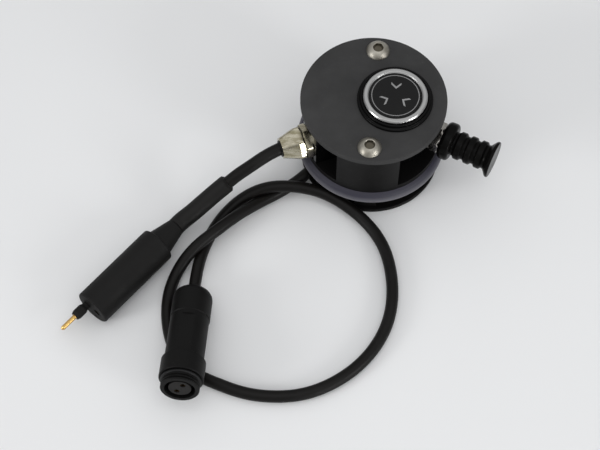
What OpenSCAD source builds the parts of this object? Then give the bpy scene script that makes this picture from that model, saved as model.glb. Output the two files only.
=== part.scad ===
// Dry suit inflation valve with a sealed feed-through for a heating lead.
// Millimetres, +Z up. The origin is the middle of the face that the valve stands on.

/* [Puck] */
// Diameter of the top plate
plate_d = 64; // [60:0.5:80]
// Thickness of the top plate
plate_t = 3; // [2:0.25:5]
// How far the top plate stands out past the housing, on each side
plate_lip = 1.5; // [0.5:0.25:3]
// Height of the side windows, from the deck to the top plate
window_h = 23.5; // [22:0.5:32]
// Thickness of the housing's deck
deck_t = 3; // [2.5:0.25:5]
// Half the angle that one housing post takes up, in degrees
post_half_a = 26.5; // [20:0.5:30]
// Depth of a post, from the outside inwards
post_depth = 9.5; // [8.5:0.25:11]
// Thickness of the rubber suit washer
washer_t = 5; // [3:0.25:8]
// How far the suit washer stands out past the housing, on each side
washer_lip = 2.8; // [1.5:0.1:4]
// How far the clamping nut lies inside the housing's outline, on each side
nut_inset = 1; // [0.5:0.25:2]
// Wall between the neck and the outside of the clamping nut
nut_wall = 4.7; // [4:0.1:6]
// Wall of the threaded neck
neck_wall = 2.2; // [1.5:0.1:3]
// Height of the clamping nut's solid rim
rim_h = 3.5; // [2.5:0.25:6]
// Height of the air vents under the rim
vent_h = 6; // [5.75:0.25:9]
// Number of posts between the vents
vent_posts = 4; // [3:1:4]
// Half the angle that one vent post takes up, in degrees
vent_post_half_a = 9.75; // [7:0.25:13]
// Thickness of the inner cover
cover_t = 2; // [1.5:0.25:3]
// How far the inner cover stands out past the clamping nut, on each side
cover_lip = 1.9; // [0.5:0.1:2.5]

/* [Screws] */
// Thread diameter of the two plate screws
screw_d = 6; // [5:0.5:6]
// Length of a plate screw under its head
screw_l = 16; // [10:1:20]
// Diameter of a plate screw's button head
screw_head_d = 10.5; // [9:0.25:11]
// Height of a plate screw's button head
screw_head_h = 3.3; // [2.5:0.1:3.5]
// Hexagon socket across its flats
screw_hex = 4; // [3:0.5:4]
// Distance from the plate's edge to a screw's axis
screw_edge = 7; // [6.5:0.25:8]
// Thread diameter of the cover screws
cover_screw_d = 2.5; // [2:0.5:3]
// Length of a cover screw with its countersunk head
cover_screw_l = 8; // [5:0.5:9]

/* [Valve core] */
// Distance from the puck's axis to the valve core's axis
core_off = 9.2; // [7:0.1:10]
// Diameter of the valve core
core_d = 28; // [26:0.5:34]
// Diameter of the core's spigot, which passes through the deck
spigot_d = 20; // [17:0.5:22]
// Depth of the spring pocket in the top of the core
pocket_depth = 7; // [6:0.25:8]
// Bore of the air chamber
chamber_d = 10; // [8:0.5:12]
// Bore of the outlet under the valve seat
outlet_d = 13; // [11.5:0.5:15]
// Bore of the valve seat
seat_d = 6.6; // [6:0.2:7.5]
// Diameter of the valve stem
stem_d = 4; // [3:0.5:4]
// Number of air ports round the core
ports = 4; // [2:1:6]
// Bore of an air port
port_d = 3; // [2:0.25:3.5]

/* [Swivel and nipple] */
// Wall of the swivel ring
ring_wall = 3.45; // [2.5:0.05:4]
// Direction of the nipple at rest, about the core's axis, in degrees
nipple_a = -21; // [-50:1:50]
// Hexagon of the nipple's collar, across its flats
nipple_hex = 12; // [10:0.5:14]
// Diameter of the nipple's quick-connect barrel
nipple_d = 8.8; // [7.2:0.2:10.8]
// Length of the nipple's quick-connect barrel
nipple_l = 17; // [14:0.5:19]
// Air bore of the nipple
nipple_bore = 3; // [2:0.25:4]

/* [Dust cap] */
// Diameter of the cap's thick rim
cap_rim_d = 17; // [15:0.25:19]
// Thickness of the cap's rim
cap_rim_t = 5.2; // [4:0.2:6]
// Wall of the cap between its ribs
cap_wall = 0.85; // [0.8:0.05:2]
// Height of a rib above the wall
cap_rib_h = 1; // [0.6:0.1:2]
// Number of ribs
cap_ribs = 3; // [1:1:4]
// Distance from rib to rib
cap_pitch = 4.9; // [4:0.1:6]
// Diameter of the end flange
cap_flange_d = 16.5; // [14:0.25:19]

/* [Button] */
// Diameter of the bright ring round the button
button_d = 28; // [25:0.5:30]
// Width of the bright ring
button_ring_w = 2.4; // [1.5:0.1:3]
// How far the button can be pressed
button_travel = 2; // [1:0.1:2.2]
// Wall of the bezel round the button
bezel_wall = 0.9; // [0.7:0.1:1.5]
// How far the bezel's flange stands out past its thread
bezel_lip = 1.1; // [1:0.1:2.5]
// Height of the bezel above the top plate
bezel_h = 2.9; // [2:0.1:3.5]
// Mean diameter of the return spring
spring_d = 11.4; // [10.5:0.1:12]
// Wire of the return spring
spring_wire = 1; // [0.8:0.1:1.1]
// Turns of the return spring
spring_turns = 6; // [4:1:6]

/* [Gland] */
// Direction of the gland about the puck's axis, in degrees
gland_a = 205; // [200:1:210]
// Height of the gland's axis above the deck
gland_up = 8; // [7:0.25:12]
// Hexagon of the gland across its flats
gland_hex = 14; // [12:0.5:15]
// Thickness of the gland's hexagon flange
gland_flange_t = 3.3; // [2:0.1:4]
// Length of the gland's cone nut
gland_nut_l = 9.8; // [8:0.1:12]
// Outer diameter of the cone nut's mouth
gland_mouth_d = 9; // [8.5:0.1:10]
// Thread diameter of the gland in its block
gland_thread_d = 10; // [9:0.5:11]
// Width of the feed-through block
block_w = 16; // [14:0.5:20]
// Diameter of the block's leg, which passes through the deck
leg_d = 9; // [8.6:0.2:11]

/* [Heating lead] */
// Diameter of the heating lead
lead_d = 5.7; // [4:0.1:6]
// Diameter over the shrink sleeve
sleeve_d = 8.2; // [7.6:0.1:9]
// Diameter of the plug's barrel
plug_d = 16.4; // [15:0.2:20]
// Length of the plug's barrel
plug_l = 41.5; // [30:0.5:50]
// Length of the plug's tapered neck
plug_neck_l = 11; // [8:0.5:12]
// Diameter of the plug's rubber stub
stub_d = 4.6; // [4.2:0.1:5]
// Length of the plug's rubber stub
stub_l = 7.5; // [5:0.5:10]
// Diameter of the contact pin
pin_d = 2; // [1.6:0.1:2.2]
// Length of the pin that stands out of its stub
pin_l = 8; // [5:0.5:12]
// Distance between the plug's pin and socket
plug_pitch = 5.8; // [5.4:0.1:7]

/* [Inner lead and connector] */
// Diameter of the inner lead
inner_d = 5.3; // [4.4:0.1:5.4]
// Diameter of the connector's domed nut
conn_nut_d = 17.2; // [16:0.1:17.4]
// Length of the connector's domed nut
conn_nut_l = 15.4; // [13:0.1:18]
// Diameter of the connector's shell
conn_shell_d = 16.7; // [15:0.1:17]
// Length of the connector's shell, up to its collar
conn_shell_l = 20.9; // [18:0.1:28]
// Diameter of the connector's collar
conn_collar_d = 19; // [17.5:0.1:20]
// Length of the connector's collar
conn_collar_l = 9.7; // [6:0.1:12]
// Thread diameter of the connector's mouth
conn_thread_d = 16.5; // [15:0.1:17]
// Length of the connector's threaded mouth
conn_thread_l = 4.9; // [4.5:0.1:9]
// Bore of the connector's mouth
conn_mouth_d = 13; // [12:0.1:14]
// Diameter of the connector's insert
conn_insert_d = 9.6; // [8.5:0.1:10]
// Distance between the connector's two contacts
conn_pitch = 5; // [4:0.1:5.4]

/* [Clearances] */
// Clearance of threads and of pieces that are fixed in each other
fit_gap = 0.03; // [0.02:0.01:0.05]
// Clearance of running fits
run_gap = 0.05; // [0.03:0.01:0.1]
// Clearance between pieces that pass each other freely
free_gap = 0.3; // [0.2:0.05:0.5]

/* [Hidden] */
$fn = 72;

BLACK = [0.15, 0.15, 0.155];
GLOSS_BLACK = [0.04, 0.04, 0.045];
RUBBER = [0.1, 0.1, 0.1];
GREY_RUBBER = [0.36, 0.35, 0.39];
STEEL = [0.72, 0.71, 0.68];
NICKEL = [0.74, 0.68, 0.56];
SILVER = [0.66, 0.66, 0.67];
GOLD = [0.83, 0.66, 0.25];
BRASS = [0.72, 0.56, 0.28];

// The stack, from the resting face up
vent_z = cover_t;
rim_z = vent_z + vent_h;
washer_z = rim_z + rim_h;
deck_z = washer_z + washer_t;
window_z = deck_z + deck_t;
plate_z = window_z + window_h;
top_z = plate_z + plate_t;

// The outlines, from the top plate in
plate_r = plate_d / 2;
body_r = plate_r - plate_lip;
nut_r = body_r - nut_inset;
neck_r = nut_r - nut_wall;
neck_bore_r = neck_r - neck_wall;
neck_z = rim_z + 0.2;
screw_r = plate_r - screw_edge;
vent_mid_r = neck_r + nut_wall / 2;

// The valve core, upwards and downwards from its air ports
core_r = core_d / 2;
nipple_z = window_z + window_h / 2;
pocket_z = plate_z - pocket_depth;
chamber_top_z = pocket_z - 2.5;
chamber_z = nipple_z - 4.25;
seat_t = 2;
seat_z = chamber_z - seat_t;
spigot_z = rim_z + 1;
seal_d = 1.8;
gallery_h = 4.4;
swivel_seal_up = gallery_h / 2 + 2.6;
face_groove_h = 1.3;
core_seal_r = (spigot_d / 2 + core_r) / 2;
stem_seal_z = chamber_top_z + 1.25;
core_nut_h = 3.5;
core_nut_r = spigot_d / 2 + 3;
ring_in_r = core_r + run_gap;
ring_out_r = ring_in_r + ring_wall;
pocket_r = spring_d / 2 + spring_wire / 2 + 1;

// The button, downwards from the bright ring's top
button_r = button_d / 2;
bezel_in_r = button_r + free_gap;
bezel_thread_r = bezel_in_r + bezel_wall;
bezel_flange_r = bezel_thread_r + bezel_lip;
ring_h = 1.6;
cap_t = 1.8;
ring_z = top_z + bezel_h - 0.5;
cap_z = ring_z - cap_t;
stop_z = cap_z - button_travel - 0.2;
disc_r = button_r - button_ring_w - 0.15;
boss_r = 4;
boss_l = 3;
stem_top_z = ring_z - 0.8;

// The poppet hangs under the valve seat
poppet_seal_t = 0.95;
poppet_t = 2.1;
poppet_nut_h = 2.2;
poppet_r = outlet_d / 2 - 1.3;
poppet_top_z = seat_z - run_gap - poppet_seal_t;
stem_z = poppet_top_z - poppet_t - poppet_nut_h;

// The nipple and its cap, outwards from the core's axis
function ray_exit(r, off, a) = sqrt(r * r - pow(off * sin(a), 2)) - off * cos(a);
boss_end = ring_out_r + 2;
nipple_thread_r = nipple_bore / 2 + 1.6;
collar_end = ray_exit(plate_r, core_off, nipple_a) + 0.7;
nipple_end = collar_end + nipple_l;
cap_start = collar_end + 0.1;
cap_rim_end = cap_start + cap_rim_t;
first_rib = cap_rim_end + 3.2;
cap_flange_s = first_rib + (cap_ribs - 1) * cap_pitch + 4.3;
cap_end = cap_flange_s + 1.8;

// The feed-through, inwards from the housing's outline
gland_z = window_z + gland_up;
gland_seat = body_r - 0.7;
flange_end = gland_seat + gland_flange_t;
gland_end = flange_end + 0.1 + gland_nut_l;
gland_thread_l = 9;
leg_r = leg_d / 2;
leg_pos = neck_bore_r - leg_r - 1;
leg_wall = 2;
channel_r = leg_r - leg_wall;
block_groove_w = 1.7;
block_seal_room = norm([core_off - leg_pos * cos(gland_a), leg_pos * sin(gland_a)]) - ring_out_r - free_gap;
block_seal_r = min(leg_r + 1.45, block_seal_room - block_groove_w / 2);
gland_seal_wall = 0.9;
lead_a = gland_a;
lead_z = rim_z - inner_d / 2 - 0.15;
wire_r = 0.7;
wire_off = 1.2;
wire_bend = 2;
lead_end = gland_seat - gland_thread_l + 1.5;

// The plug lies on the floor, with its shoulder here and its nose towards plug_a
floor_gap = 0.05;
plug_pos = [-89, -60.5, plug_d / 2 + floor_gap];
plug_a = -125.5;
plug_core_l = 12;
pin_shank_r = pin_d / 2 + 0.25;
socket_r = pin_d / 2 + 0.6;
pin_y = -plug_pitch / 2;
neck_d = sleeve_d;

// The connector rests on its nut and on the loop of its own lead
conn_pos = [-70.5, -81.75, 7.59];
conn_a = -88.8;
conn_tilt = 11.8;
conn_collar_s = conn_nut_l + conn_shell_l;
conn_thread_s = conn_collar_s + conn_collar_l;
conn_end = conn_thread_s + conn_thread_l;
conn_stub_r = conn_shell_d / 2 - 1.9;
conn_contact_a = -32;
insert_s = conn_collar_s + 1;
insert_end = conn_end - 0.6;
contact_r = 1.15;
contact_bore_r = 0.8;
bush_s = 3;
bush_l = 6;

// Routes of the two leads: chosen points along the middle of each
heating_route = [
    [-45, -22, 26.6], [-51.5, -26.5, 24.2], [-56.5, -29.5, 21.5], [-61, -32.5, 18.6],
    [-66, -36, 15.2], [-72, -41, 11.8], [-77, -45.5, 9.6]
];
sleeve_from = 3;
inner_route = [
    [-27.6, -16.9, 5], [-36.4, -24.4, 2.9], [-46.9, -33.3, 4.5], [-55.9, -42.3, 7.3],
    [-64.3, -51.7, 8.8], [-73, -61, 7.8], [-79.1, -70.6, 4.3], [-81.8, -82.2, 2.7],
    [-80.8, -94, 2.7], [-76.7, -105.9, 2.7], [-68.4, -116, 2.7], [-56.4, -121.2, 2.7],
    [-44.6, -124.3, 2.7], [-32, -124.9, 2.7], [-19.3, -122.6, 2.7], [-7.8, -116.9, 2.7],
    [2.1, -108.5, 2.7], [9.7, -97.8, 2.7], [14.2, -85.7, 2.7], [15.3, -73, 2.7],
    [13.6, -60.7, 2.7], [9.3, -48.9, 2.7], [1.9, -39.1, 3], [-8, -31.9, 4.7],
    [-19.9, -27.1, 6.8], [-32.5, -26.3, 8.7], [-44.6, -27.6, 7.8], [-55.6, -32.9, 4.6],
    [-63.4, -42.3, 2.8], [-67.9, -53, 2.8], [-70.2, -64.5, 4.6]
];

// The return spring is one unbroken wire with a straight rise
spring_steps = 8;
spring_z = pocket_z + 0.1 + spring_wire / 2;
spring_rise = cap_z - 0.1 - spring_wire / 2 - spring_z;
spring_route = [
    for (i = [0:spring_turns * spring_steps])
        [
            core_off + spring_d / 2 * cos(360 * i / spring_steps),
            spring_d / 2 * sin(360 * i / spring_steps),
            spring_z + spring_rise * i / (spring_turns * spring_steps)
        ]
];
spring_gap = min([
    for (i = [0:len(spring_route) - 1 - spring_steps], j = [i + spring_steps - 1:len(spring_route) - 1])
        norm(spring_route[i] - spring_route[j])
]) - spring_wire;
echo(str("least gap of the spring to itself: ", spring_gap, " mm"));

// ---- Placing ----

module at_core() { translate([core_off, 0, 0]) children(); }

// +Z of the children points along the nipple, from the core's axis
module at_nipple() {
    translate([core_off, 0, nipple_z]) rotate([0, 90, nipple_a]) children();
}

// +Z of the children points out along the gland, from the puck's axis
module at_gland() { translate([0, 0, gland_z]) rotate([0, 90, gland_a]) children(); }

module at_leg() { rotate([0, 0, gland_a]) translate([leg_pos, 0, 0]) children(); }

// +Z of the children points along the inner lead, from the leg's axis
module at_lead_bore() {
    translate(leg_point(0)) rotate([0, 90, lead_a]) children();
}

// +Z of the children points along the plug, towards its nose
module at_plug() { translate(plug_pos) rotate([0, 90, plug_a]) children(); }

// +Z of the children points along the connector, towards its mouth
module at_connector() {
    translate(conn_pos) rotate([0, 90 - conn_tilt, conn_a]) children();
}

function gland_point(s) = [s * cos(gland_a), s * sin(gland_a), gland_z];
function leg_point(s) = [
    leg_pos * cos(gland_a) + s * cos(lead_a),
    leg_pos * sin(gland_a) + s * sin(lead_a),
    lead_z
];
function plug_point(s) = plug_pos + s * [cos(plug_a), sin(plug_a), 0];
function conn_point(s) = conn_pos
    + s * [cos(conn_tilt) * cos(conn_a), cos(conn_tilt) * sin(conn_a), sin(conn_tilt)];

// ---- Shapes that repeat ----

// A ring of rectangular section
module band(r_out, r_in, z0, z1) {
    rotate_extrude() translate([r_in, z0]) square([r_out - r_in, z1 - z0]);
}

// A solid of revolution from its outline, as [radius, height] points
module turned(outline) { rotate_extrude() polygon(outline); }

// A rubber ring of round section
module o_ring(r, z, section) {
    translate([0, 0, z]) rotate_extrude() translate([r, 0]) circle(d = section, $fn = 32);
}

// Part of a ring, centred on the direction a
module sector(r_out, r_in, z0, z1, a, half_a) {
    rotate([0, 0, a - half_a])
        rotate_extrude(angle = 2 * half_a) translate([r_in, z0]) square([r_out - r_in, z1 - z0]);
}

module hexagon(flats, h) { cylinder(d = flats / cos(30), h = h, $fn = 6); }

// Points along an arc about c, from angle a0 to a1
function arc(c, r, a0, a1, steps = 4) =
    [for (i = [0:steps]) let(a = a0 + (a1 - a0) * i / steps) c + r * [cos(a), sin(a)]];

// ---- Tubes along a route ----

function unit(v) = v / norm(v);
function tangent(p, i) = unit(p[min(i + 1, len(p) - 1)] - p[max(i - 1, 0)]);
function side(p, i) = unit(cross(tangent(p, i), [0, 0, 1]));
function ring_points(p, i, r, n) = [
    for (k = [0:n - 1])
        p[i] + r * cos(360 * k / n) * side(p, i) + r * sin(360 * k / n) * cross(side(p, i), tangent(p, i))
];
function skin_faces(rings, n, first, flip) = [
    for (i = [0:rings - 2], k = [0:n - 1], half = [0, 1])
        let(a = first + i * n + k, b = first + i * n + (k + 1) % n)
            let(f = half == 0 ? [a, b, b + n] : [a, b + n, a + n])
                flip ? [f[2], f[1], f[0]] : f
];

// A solid tube through the points of a route
module tube(route, r, n) {
    rings = len(route);
    last = (rings - 1) * n;
    polyhedron(
        points = [for (i = [0:rings - 1]) each ring_points(route, i, r, n)],
        faces = concat(
            skin_faces(rings, n, 0, false),
            [for (k = [1:n - 2]) [0, k + 1, k]],
            [for (k = [1:n - 2]) [last, last + k, last + k + 1]]
        ),
        convexity = 10
    );
}

// A hollow tube through the points of a route
module sleeve(route, r_out, r_in, n) {
    rings = len(route);
    inner = rings * n;
    last = (rings - 1) * n;
    polyhedron(
        points = concat(
            [for (i = [0:rings - 1]) each ring_points(route, i, r_out, n)],
            [for (i = [0:rings - 1]) each ring_points(route, i, r_in, n)]
        ),
        faces = concat(
            skin_faces(rings, n, 0, false),
            skin_faces(rings, n, inner, true),
            [for (k = [0:n - 1], half = [0, 1])
                let(a = k, b = (k + 1) % n)
                    half == 0 ? [b, a, inner + a] : [b, inner + a, inner + b]],
            [for (k = [0:n - 1], half = [0, 1])
                let(a = last + k, b = last + (k + 1) % n)
                    half == 0 ? [a, b, inner + b] : [a, inner + b, inner + a]]
        ),
        convexity = 10
    );
}

// ---- Puck ----

module top_plate() {
    bevel = 0.4;
    color([0.24, 0.24, 0.24]) difference() {
        turned([
            [0, plate_z], [plate_r - bevel, plate_z], [plate_r, plate_z + bevel],
            [plate_r, top_z - bevel], [plate_r - bevel, top_z], [0, top_z]
        ]);
        for (y = [-screw_r, screw_r])
            translate([0, y, plate_z - 1]) cylinder(r = screw_d / 2 + free_gap, h = plate_t + 2);
        at_core() translate([0, 0, plate_z - 1]) cylinder(r = bezel_thread_r + fit_gap, h = plate_t + 2);
    }
}

// Button-head screws: a dome on a shank, with a hexagon socket
module plate_screws() {
    dome_r = (pow(screw_head_h, 2) + pow(screw_head_d / 2, 2)) / (2 * screw_head_h);
    color(STEEL) for (y = [-screw_r, screw_r]) translate([0, y, top_z]) difference() {
        union() {
            intersection() {
                translate([0, 0, screw_head_h - dome_r]) sphere(r = dome_r);
                cylinder(d = screw_head_d - 0.3, h = screw_head_h + 1);
            }
            translate([0, 0, -screw_l]) cylinder(d = screw_d, h = screw_l + 0.5);
        }
        translate([0, 0, screw_head_h - 2]) hexagon(screw_hex, 3);
    }
}

// All the space over the deck but for the two posts, which stay clear of the swivel ring
module windows() {
    difference() {
        translate([0, 0, window_z]) cylinder(r = body_r + 1, h = window_h + 1);
        difference() {
            for (a = [-90, 90])
                sector(body_r + 2, body_r - post_depth, window_z - 1, plate_z + 2, a, post_half_a);
            at_core() translate([0, 0, window_z - 2]) cylinder(r = ring_out_r + free_gap, h = window_h + 5);
        }
    }
}

// A deck on a threaded neck, with a post on each side between the windows
module housing() {
    color(BLACK) difference() {
        union() {
            translate([0, 0, deck_z]) cylinder(r = body_r, h = plate_z - deck_z);
            translate([0, 0, neck_z]) cylinder(r = neck_r, h = deck_z - neck_z + deck_t / 2);
        }
        windows();
        translate([0, 0, neck_z - 1]) cylinder(r = neck_bore_r, h = deck_z - neck_z + 1);
        at_core() translate([0, 0, deck_z - 1]) cylinder(r = spigot_d / 2 + fit_gap, h = deck_t + 2);
        at_leg() translate([0, 0, deck_z - 1]) cylinder(r = leg_r + fit_gap, h = deck_t + 2);
        for (y = [-screw_r, screw_r])
            translate([0, y, top_z - screw_l - 1]) cylinder(r = screw_d / 2 + fit_gap, h = screw_l + 1);
    }
}

// The washer bulges from the housing's edge to its widest line, low down
module suit_washer() {
    r_in = neck_r + free_gap;
    r_out = body_r + washer_lip;
    low = washer_t * 0.3;
    color(GREY_RUBBER) turned(concat(
        [[r_in, washer_z], [r_out - 1, washer_z], [r_out, washer_z + 0.6]],
        [for (i = [0:6]) let(a = 90 * i / 6)
            [r_out - washer_lip * (1 - cos(a)), washer_z + low + (washer_t - low) * sin(a)]],
        [[r_in, deck_z]]
    ));
}

module clamp_nut() {
    thread_r = neck_r + run_gap;
    color(BLACK) difference() {
        union() {
            band(nut_r, thread_r, rim_z, washer_z);
            for (i = [0:vent_posts - 1])
                sector(nut_r, thread_r, vent_z, rim_z + rim_h / 2, 360 * i / vent_posts, vent_post_half_a);
        }
        cover_screw_holes(cover_screw_d / 2 + fit_gap, cover_screw_l + 1);
    }
}

module cover_screw_holes(r, h) {
    for (i = [0:vent_posts - 1])
        rotate([0, 0, 360 * i / vent_posts]) translate([vent_mid_r, 0, -1]) cylinder(r = r, h = h + 1);
}

// Outline of a countersunk screw, head down, grown by a gap
function csk(gap) = [
    [0, -gap], [cover_screw_d + gap, -gap], [cover_screw_d + gap, 0.25],
    [cover_screw_d / 2 + gap, 0.25 + cover_screw_d / 2], [cover_screw_d / 2 + gap, cover_screw_l],
    [0, cover_screw_l]
];

module inner_cover() {
    r = nut_r + cover_lip;
    bevel = 0.4;
    color(BLACK) difference() {
        turned([
            [0, 0], [r - bevel, 0], [r, bevel],
            [r, cover_t - bevel], [r - bevel, cover_t], [0, cover_t]
        ]);
        for (i = [0:vent_posts - 1])
            rotate([0, 0, 360 * i / vent_posts]) translate([vent_mid_r, 0, 0]) turned(csk(2 * run_gap));
    }
}

module cover_screws() {
    color(STEEL) for (i = [0:vent_posts - 1])
        rotate([0, 0, 360 * i / vent_posts]) translate([vent_mid_r, 0, run_gap]) difference() {
            turned(csk(0));
            translate([0, 0, -1]) hexagon(cover_screw_d * 0.6, 1.9);
        }
}

// ---- Valve core ----

module valve_core() {
    seal_r = core_r - seal_d;
    color(GLOSS_BLACK) at_core() difference() {
        union() {
            translate([0, 0, window_z]) cylinder(r = core_r, h = window_h);
            translate([0, 0, spigot_z]) cylinder(d = spigot_d, h = window_z - spigot_z + 1);
        }
        translate([0, 0, pocket_z]) cylinder(r = pocket_r, h = pocket_depth + 1);
        translate([0, 0, chamber_z]) cylinder(d = chamber_d, h = chamber_top_z - chamber_z);
        translate([0, 0, chamber_top_z - 1])
            cylinder(r = stem_d / 2 + run_gap, h = pocket_z - chamber_top_z + 2);
        translate([0, 0, stem_seal_z - 0.65]) cylinder(r = stem_d / 2 + 1.35, h = 1.3);
        translate([0, 0, seat_z - 1]) cylinder(d = seat_d, h = seat_t + 2);
        translate([0, 0, spigot_z - 1]) cylinder(d = outlet_d, h = seat_z - spigot_z + 1);
        for (i = [0:ports - 1])
            translate([0, 0, nipple_z]) rotate([0, 90, nipple_a + 360 * i / ports])
                cylinder(d = port_d, h = core_r + 1);
        for (side = [-1, 1])
            translate([0, 0, nipple_z + side * swivel_seal_up - seal_d / 2 - 0.1])
                band(core_r + 1, seal_r, 0, seal_d + 0.2);
        band(core_seal_r + 0.9, core_seal_r - 0.9, window_z - 1, window_z + face_groove_h);
    }
}

// Two rubber rings above and below the air gallery
module swivel_seals() {
    color(RUBBER) at_core() for (side = [-1, 1])
        o_ring(ring_in_r - seal_d / 2 - 0.04, nipple_z + side * swivel_seal_up, seal_d - 0.04);
}

module core_seal() {
    color(RUBBER) at_core() o_ring(core_seal_r, window_z + face_groove_h / 2, face_groove_h);
}

module stem_seal() { color(RUBBER) at_core() o_ring(stem_d / 2 + 0.7, stem_seal_z, 1.24); }

// The nut that holds the core to the deck, with two spanner slots
module core_nut() {
    color(BRASS) at_core() difference() {
        band(core_nut_r, spigot_d / 2 + fit_gap, deck_z - core_nut_h, deck_z);
        for (a = [0, 180])
            rotate([0, 0, a]) translate([core_nut_r - 1.5, -1.5, deck_z - core_nut_h - 1]) cube([3, 3, 2.5]);
    }
}

// ---- Swivel, nipple and cap ----

module swivel_ring() {
    color(GLOSS_BLACK) difference() {
        union() {
            at_core() translate([0, 0, window_z + free_gap])
                cylinder(r = ring_out_r, h = window_h - 2 * free_gap);
            at_nipple() translate([0, 0, core_r + 1])
                cylinder(r = nipple_hex / 2 + 1, h = boss_end - core_r - 1);
        }
        at_core() translate([0, 0, window_z - 1]) cylinder(r = ring_in_r, h = window_h + 2);
        at_core() band(ring_in_r + 1.5, ring_in_r - 1, nipple_z - gallery_h / 2, nipple_z + gallery_h / 2);
        at_nipple() cylinder(r = nipple_thread_r + fit_gap, h = boss_end + 1);
        at_nipple() translate([0, 0, boss_end - 1.2]) cylinder(r = nipple_hex / 2 - 0.4, h = 2);
    }
}

// Male quick-connect nipple: thread, hexagon collar, grooved barrel
module nipple() {
    r = nipple_d / 2;
    color(STEEL) at_nipple() difference() {
        union() {
            translate([0, 0, ring_in_r + 1.8]) cylinder(r = nipple_thread_r, h = boss_end - ring_in_r);
            intersection() {
                translate([0, 0, boss_end]) hexagon(nipple_hex, collar_end - boss_end);
                turned([
                    [0, boss_end], [nipple_hex / 2 + 0.1, boss_end], [nipple_hex / 2 + 0.9, boss_end + 0.8],
                    [nipple_hex / 2 + 0.9, collar_end - 0.8], [nipple_hex / 2 + 0.1, collar_end],
                    [0, collar_end]
                ]);
            }
            turned([
                [0, boss_end + 1], [r - 0.6, boss_end + 1], [r - 0.6, collar_end + 2], [r, collar_end + 2.6],
                [r, collar_end + 6], [r - 0.8, collar_end + 6.8], [r - 0.8, collar_end + 9.4],
                [r, collar_end + 10.2], [r, nipple_end - 2.4], [r - 1.4, nipple_end], [0, nipple_end]
            ]);
        }
        cylinder(d = nipple_bore, h = nipple_end + 1);
    }
}

module nipple_seal() {
    color(RUBBER) at_nipple() o_ring(nipple_thread_r + 0.75, boss_end - 0.6, 1.15);
}

// A rubber cap with a thick rounded rim, grip ribs and a flared end
module dust_cap() {
    rim_r = cap_rim_d / 2;
    bore_r = nipple_d / 2 + run_gap;
    neck = bore_r + cap_wall;
    rib = neck + cap_rib_h;
    round = cap_rim_t / 2 - 0.2;
    color(RUBBER) at_nipple() difference() {
        turned(concat(
            [[0, cap_start]],
            arc([rim_r - round, cap_start + round], round, -90, 0),
            arc([rim_r - round, cap_rim_end - round], round, 0, 90),
            [for (i = [0:cap_ribs - 1]) let(s = first_rib + i * cap_pitch)
                each [[neck, s - 1.9], [rib - 0.3, s - 1.2], [rib, s - 0.8], [rib, s + 0.8],
                      [rib - 0.3, s + 1.2], [neck, s + 1.9]]],
            [[neck + 0.2, cap_flange_s - 1.6], [cap_flange_d / 2 - 0.5, cap_flange_s + 0.6]],
            [[cap_flange_d / 2, cap_flange_s + 1], [cap_flange_d / 2, cap_end - 0.4]],
            [[cap_flange_d / 2 - 0.4, cap_end], [0, cap_end]]
        ));
        translate([0, 0, cap_start - 1]) cylinder(r = bore_r, h = nipple_l + 2);
    }
}

// ---- Button ----

module bezel() {
    color(GLOSS_BLACK) at_core() turned([
        [bezel_in_r - 2, plate_z], [bezel_thread_r, plate_z],
        [bezel_thread_r, top_z], [bezel_flange_r, top_z],
        [bezel_flange_r, top_z + 1.1], [bezel_flange_r - 0.4, top_z + 1.5],
        [bezel_thread_r + 0.2, top_z + 1.7],
        [bezel_thread_r, top_z + bezel_h - 0.3], [bezel_thread_r - 0.3, top_z + bezel_h],
        [bezel_in_r, top_z + bezel_h], [bezel_in_r, stop_z], [bezel_in_r - 2, stop_z]
    ]);
}

module button_cap() {
    color(GLOSS_BLACK) at_core() difference() {
        union() {
            translate([0, 0, cap_z]) cylinder(r = button_r, h = cap_t);
            translate([0, 0, ring_z - 0.5]) cylinder(r = disc_r + 0.1, h = 1.1);
            translate([0, 0, cap_z - boss_l]) cylinder(r = boss_r, h = boss_l + 0.5);
        }
        translate([0, 0, cap_z - boss_l - 1])
            cylinder(r = stem_d / 2 + fit_gap, h = stem_top_z - cap_z + boss_l + 1);
    }
}

// A bright ring with a bevel inside and out
module button_ring() {
    r_in = button_r - button_ring_w;
    color(SILVER) at_core() turned([
        [r_in, ring_z], [button_r, ring_z], [button_r, ring_z + ring_h - 0.6],
        [button_r - 0.5, ring_z + ring_h - 0.1], [button_r - 0.8, ring_z + ring_h],
        [r_in + 0.5, ring_z + ring_h], [r_in, ring_z + ring_h - 0.4]
    ]);
}

module button_disc() {
    color(GLOSS_BLACK) at_core() translate([0, 0, ring_z + 0.6]) cylinder(r = disc_r, h = 0.6);
}

module button_spring() { color(STEEL) tube(spring_route, spring_wire / 2, 6); }

module valve_stem() {
    color(STEEL) at_core() translate([0, 0, stem_z]) cylinder(d = stem_d, h = stem_top_z - stem_z);
}

module poppet() {
    color(BRASS) at_core() band(poppet_r, stem_d / 2 + fit_gap, poppet_top_z - poppet_t, poppet_top_z);
}

module poppet_seal() {
    color(RUBBER) at_core()
        band(poppet_r - 0.3, stem_d / 2 + fit_gap, poppet_top_z, poppet_top_z + poppet_seal_t);
}

module poppet_nut() {
    color(STEEL) at_core() translate([0, 0, stem_z]) difference() {
        hexagon(stem_d + 3, poppet_nut_h);
        translate([0, 0, -1]) cylinder(r = stem_d / 2 + fit_gap, h = poppet_nut_h + 2);
    }
}

// ---- Feed-through ----

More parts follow.
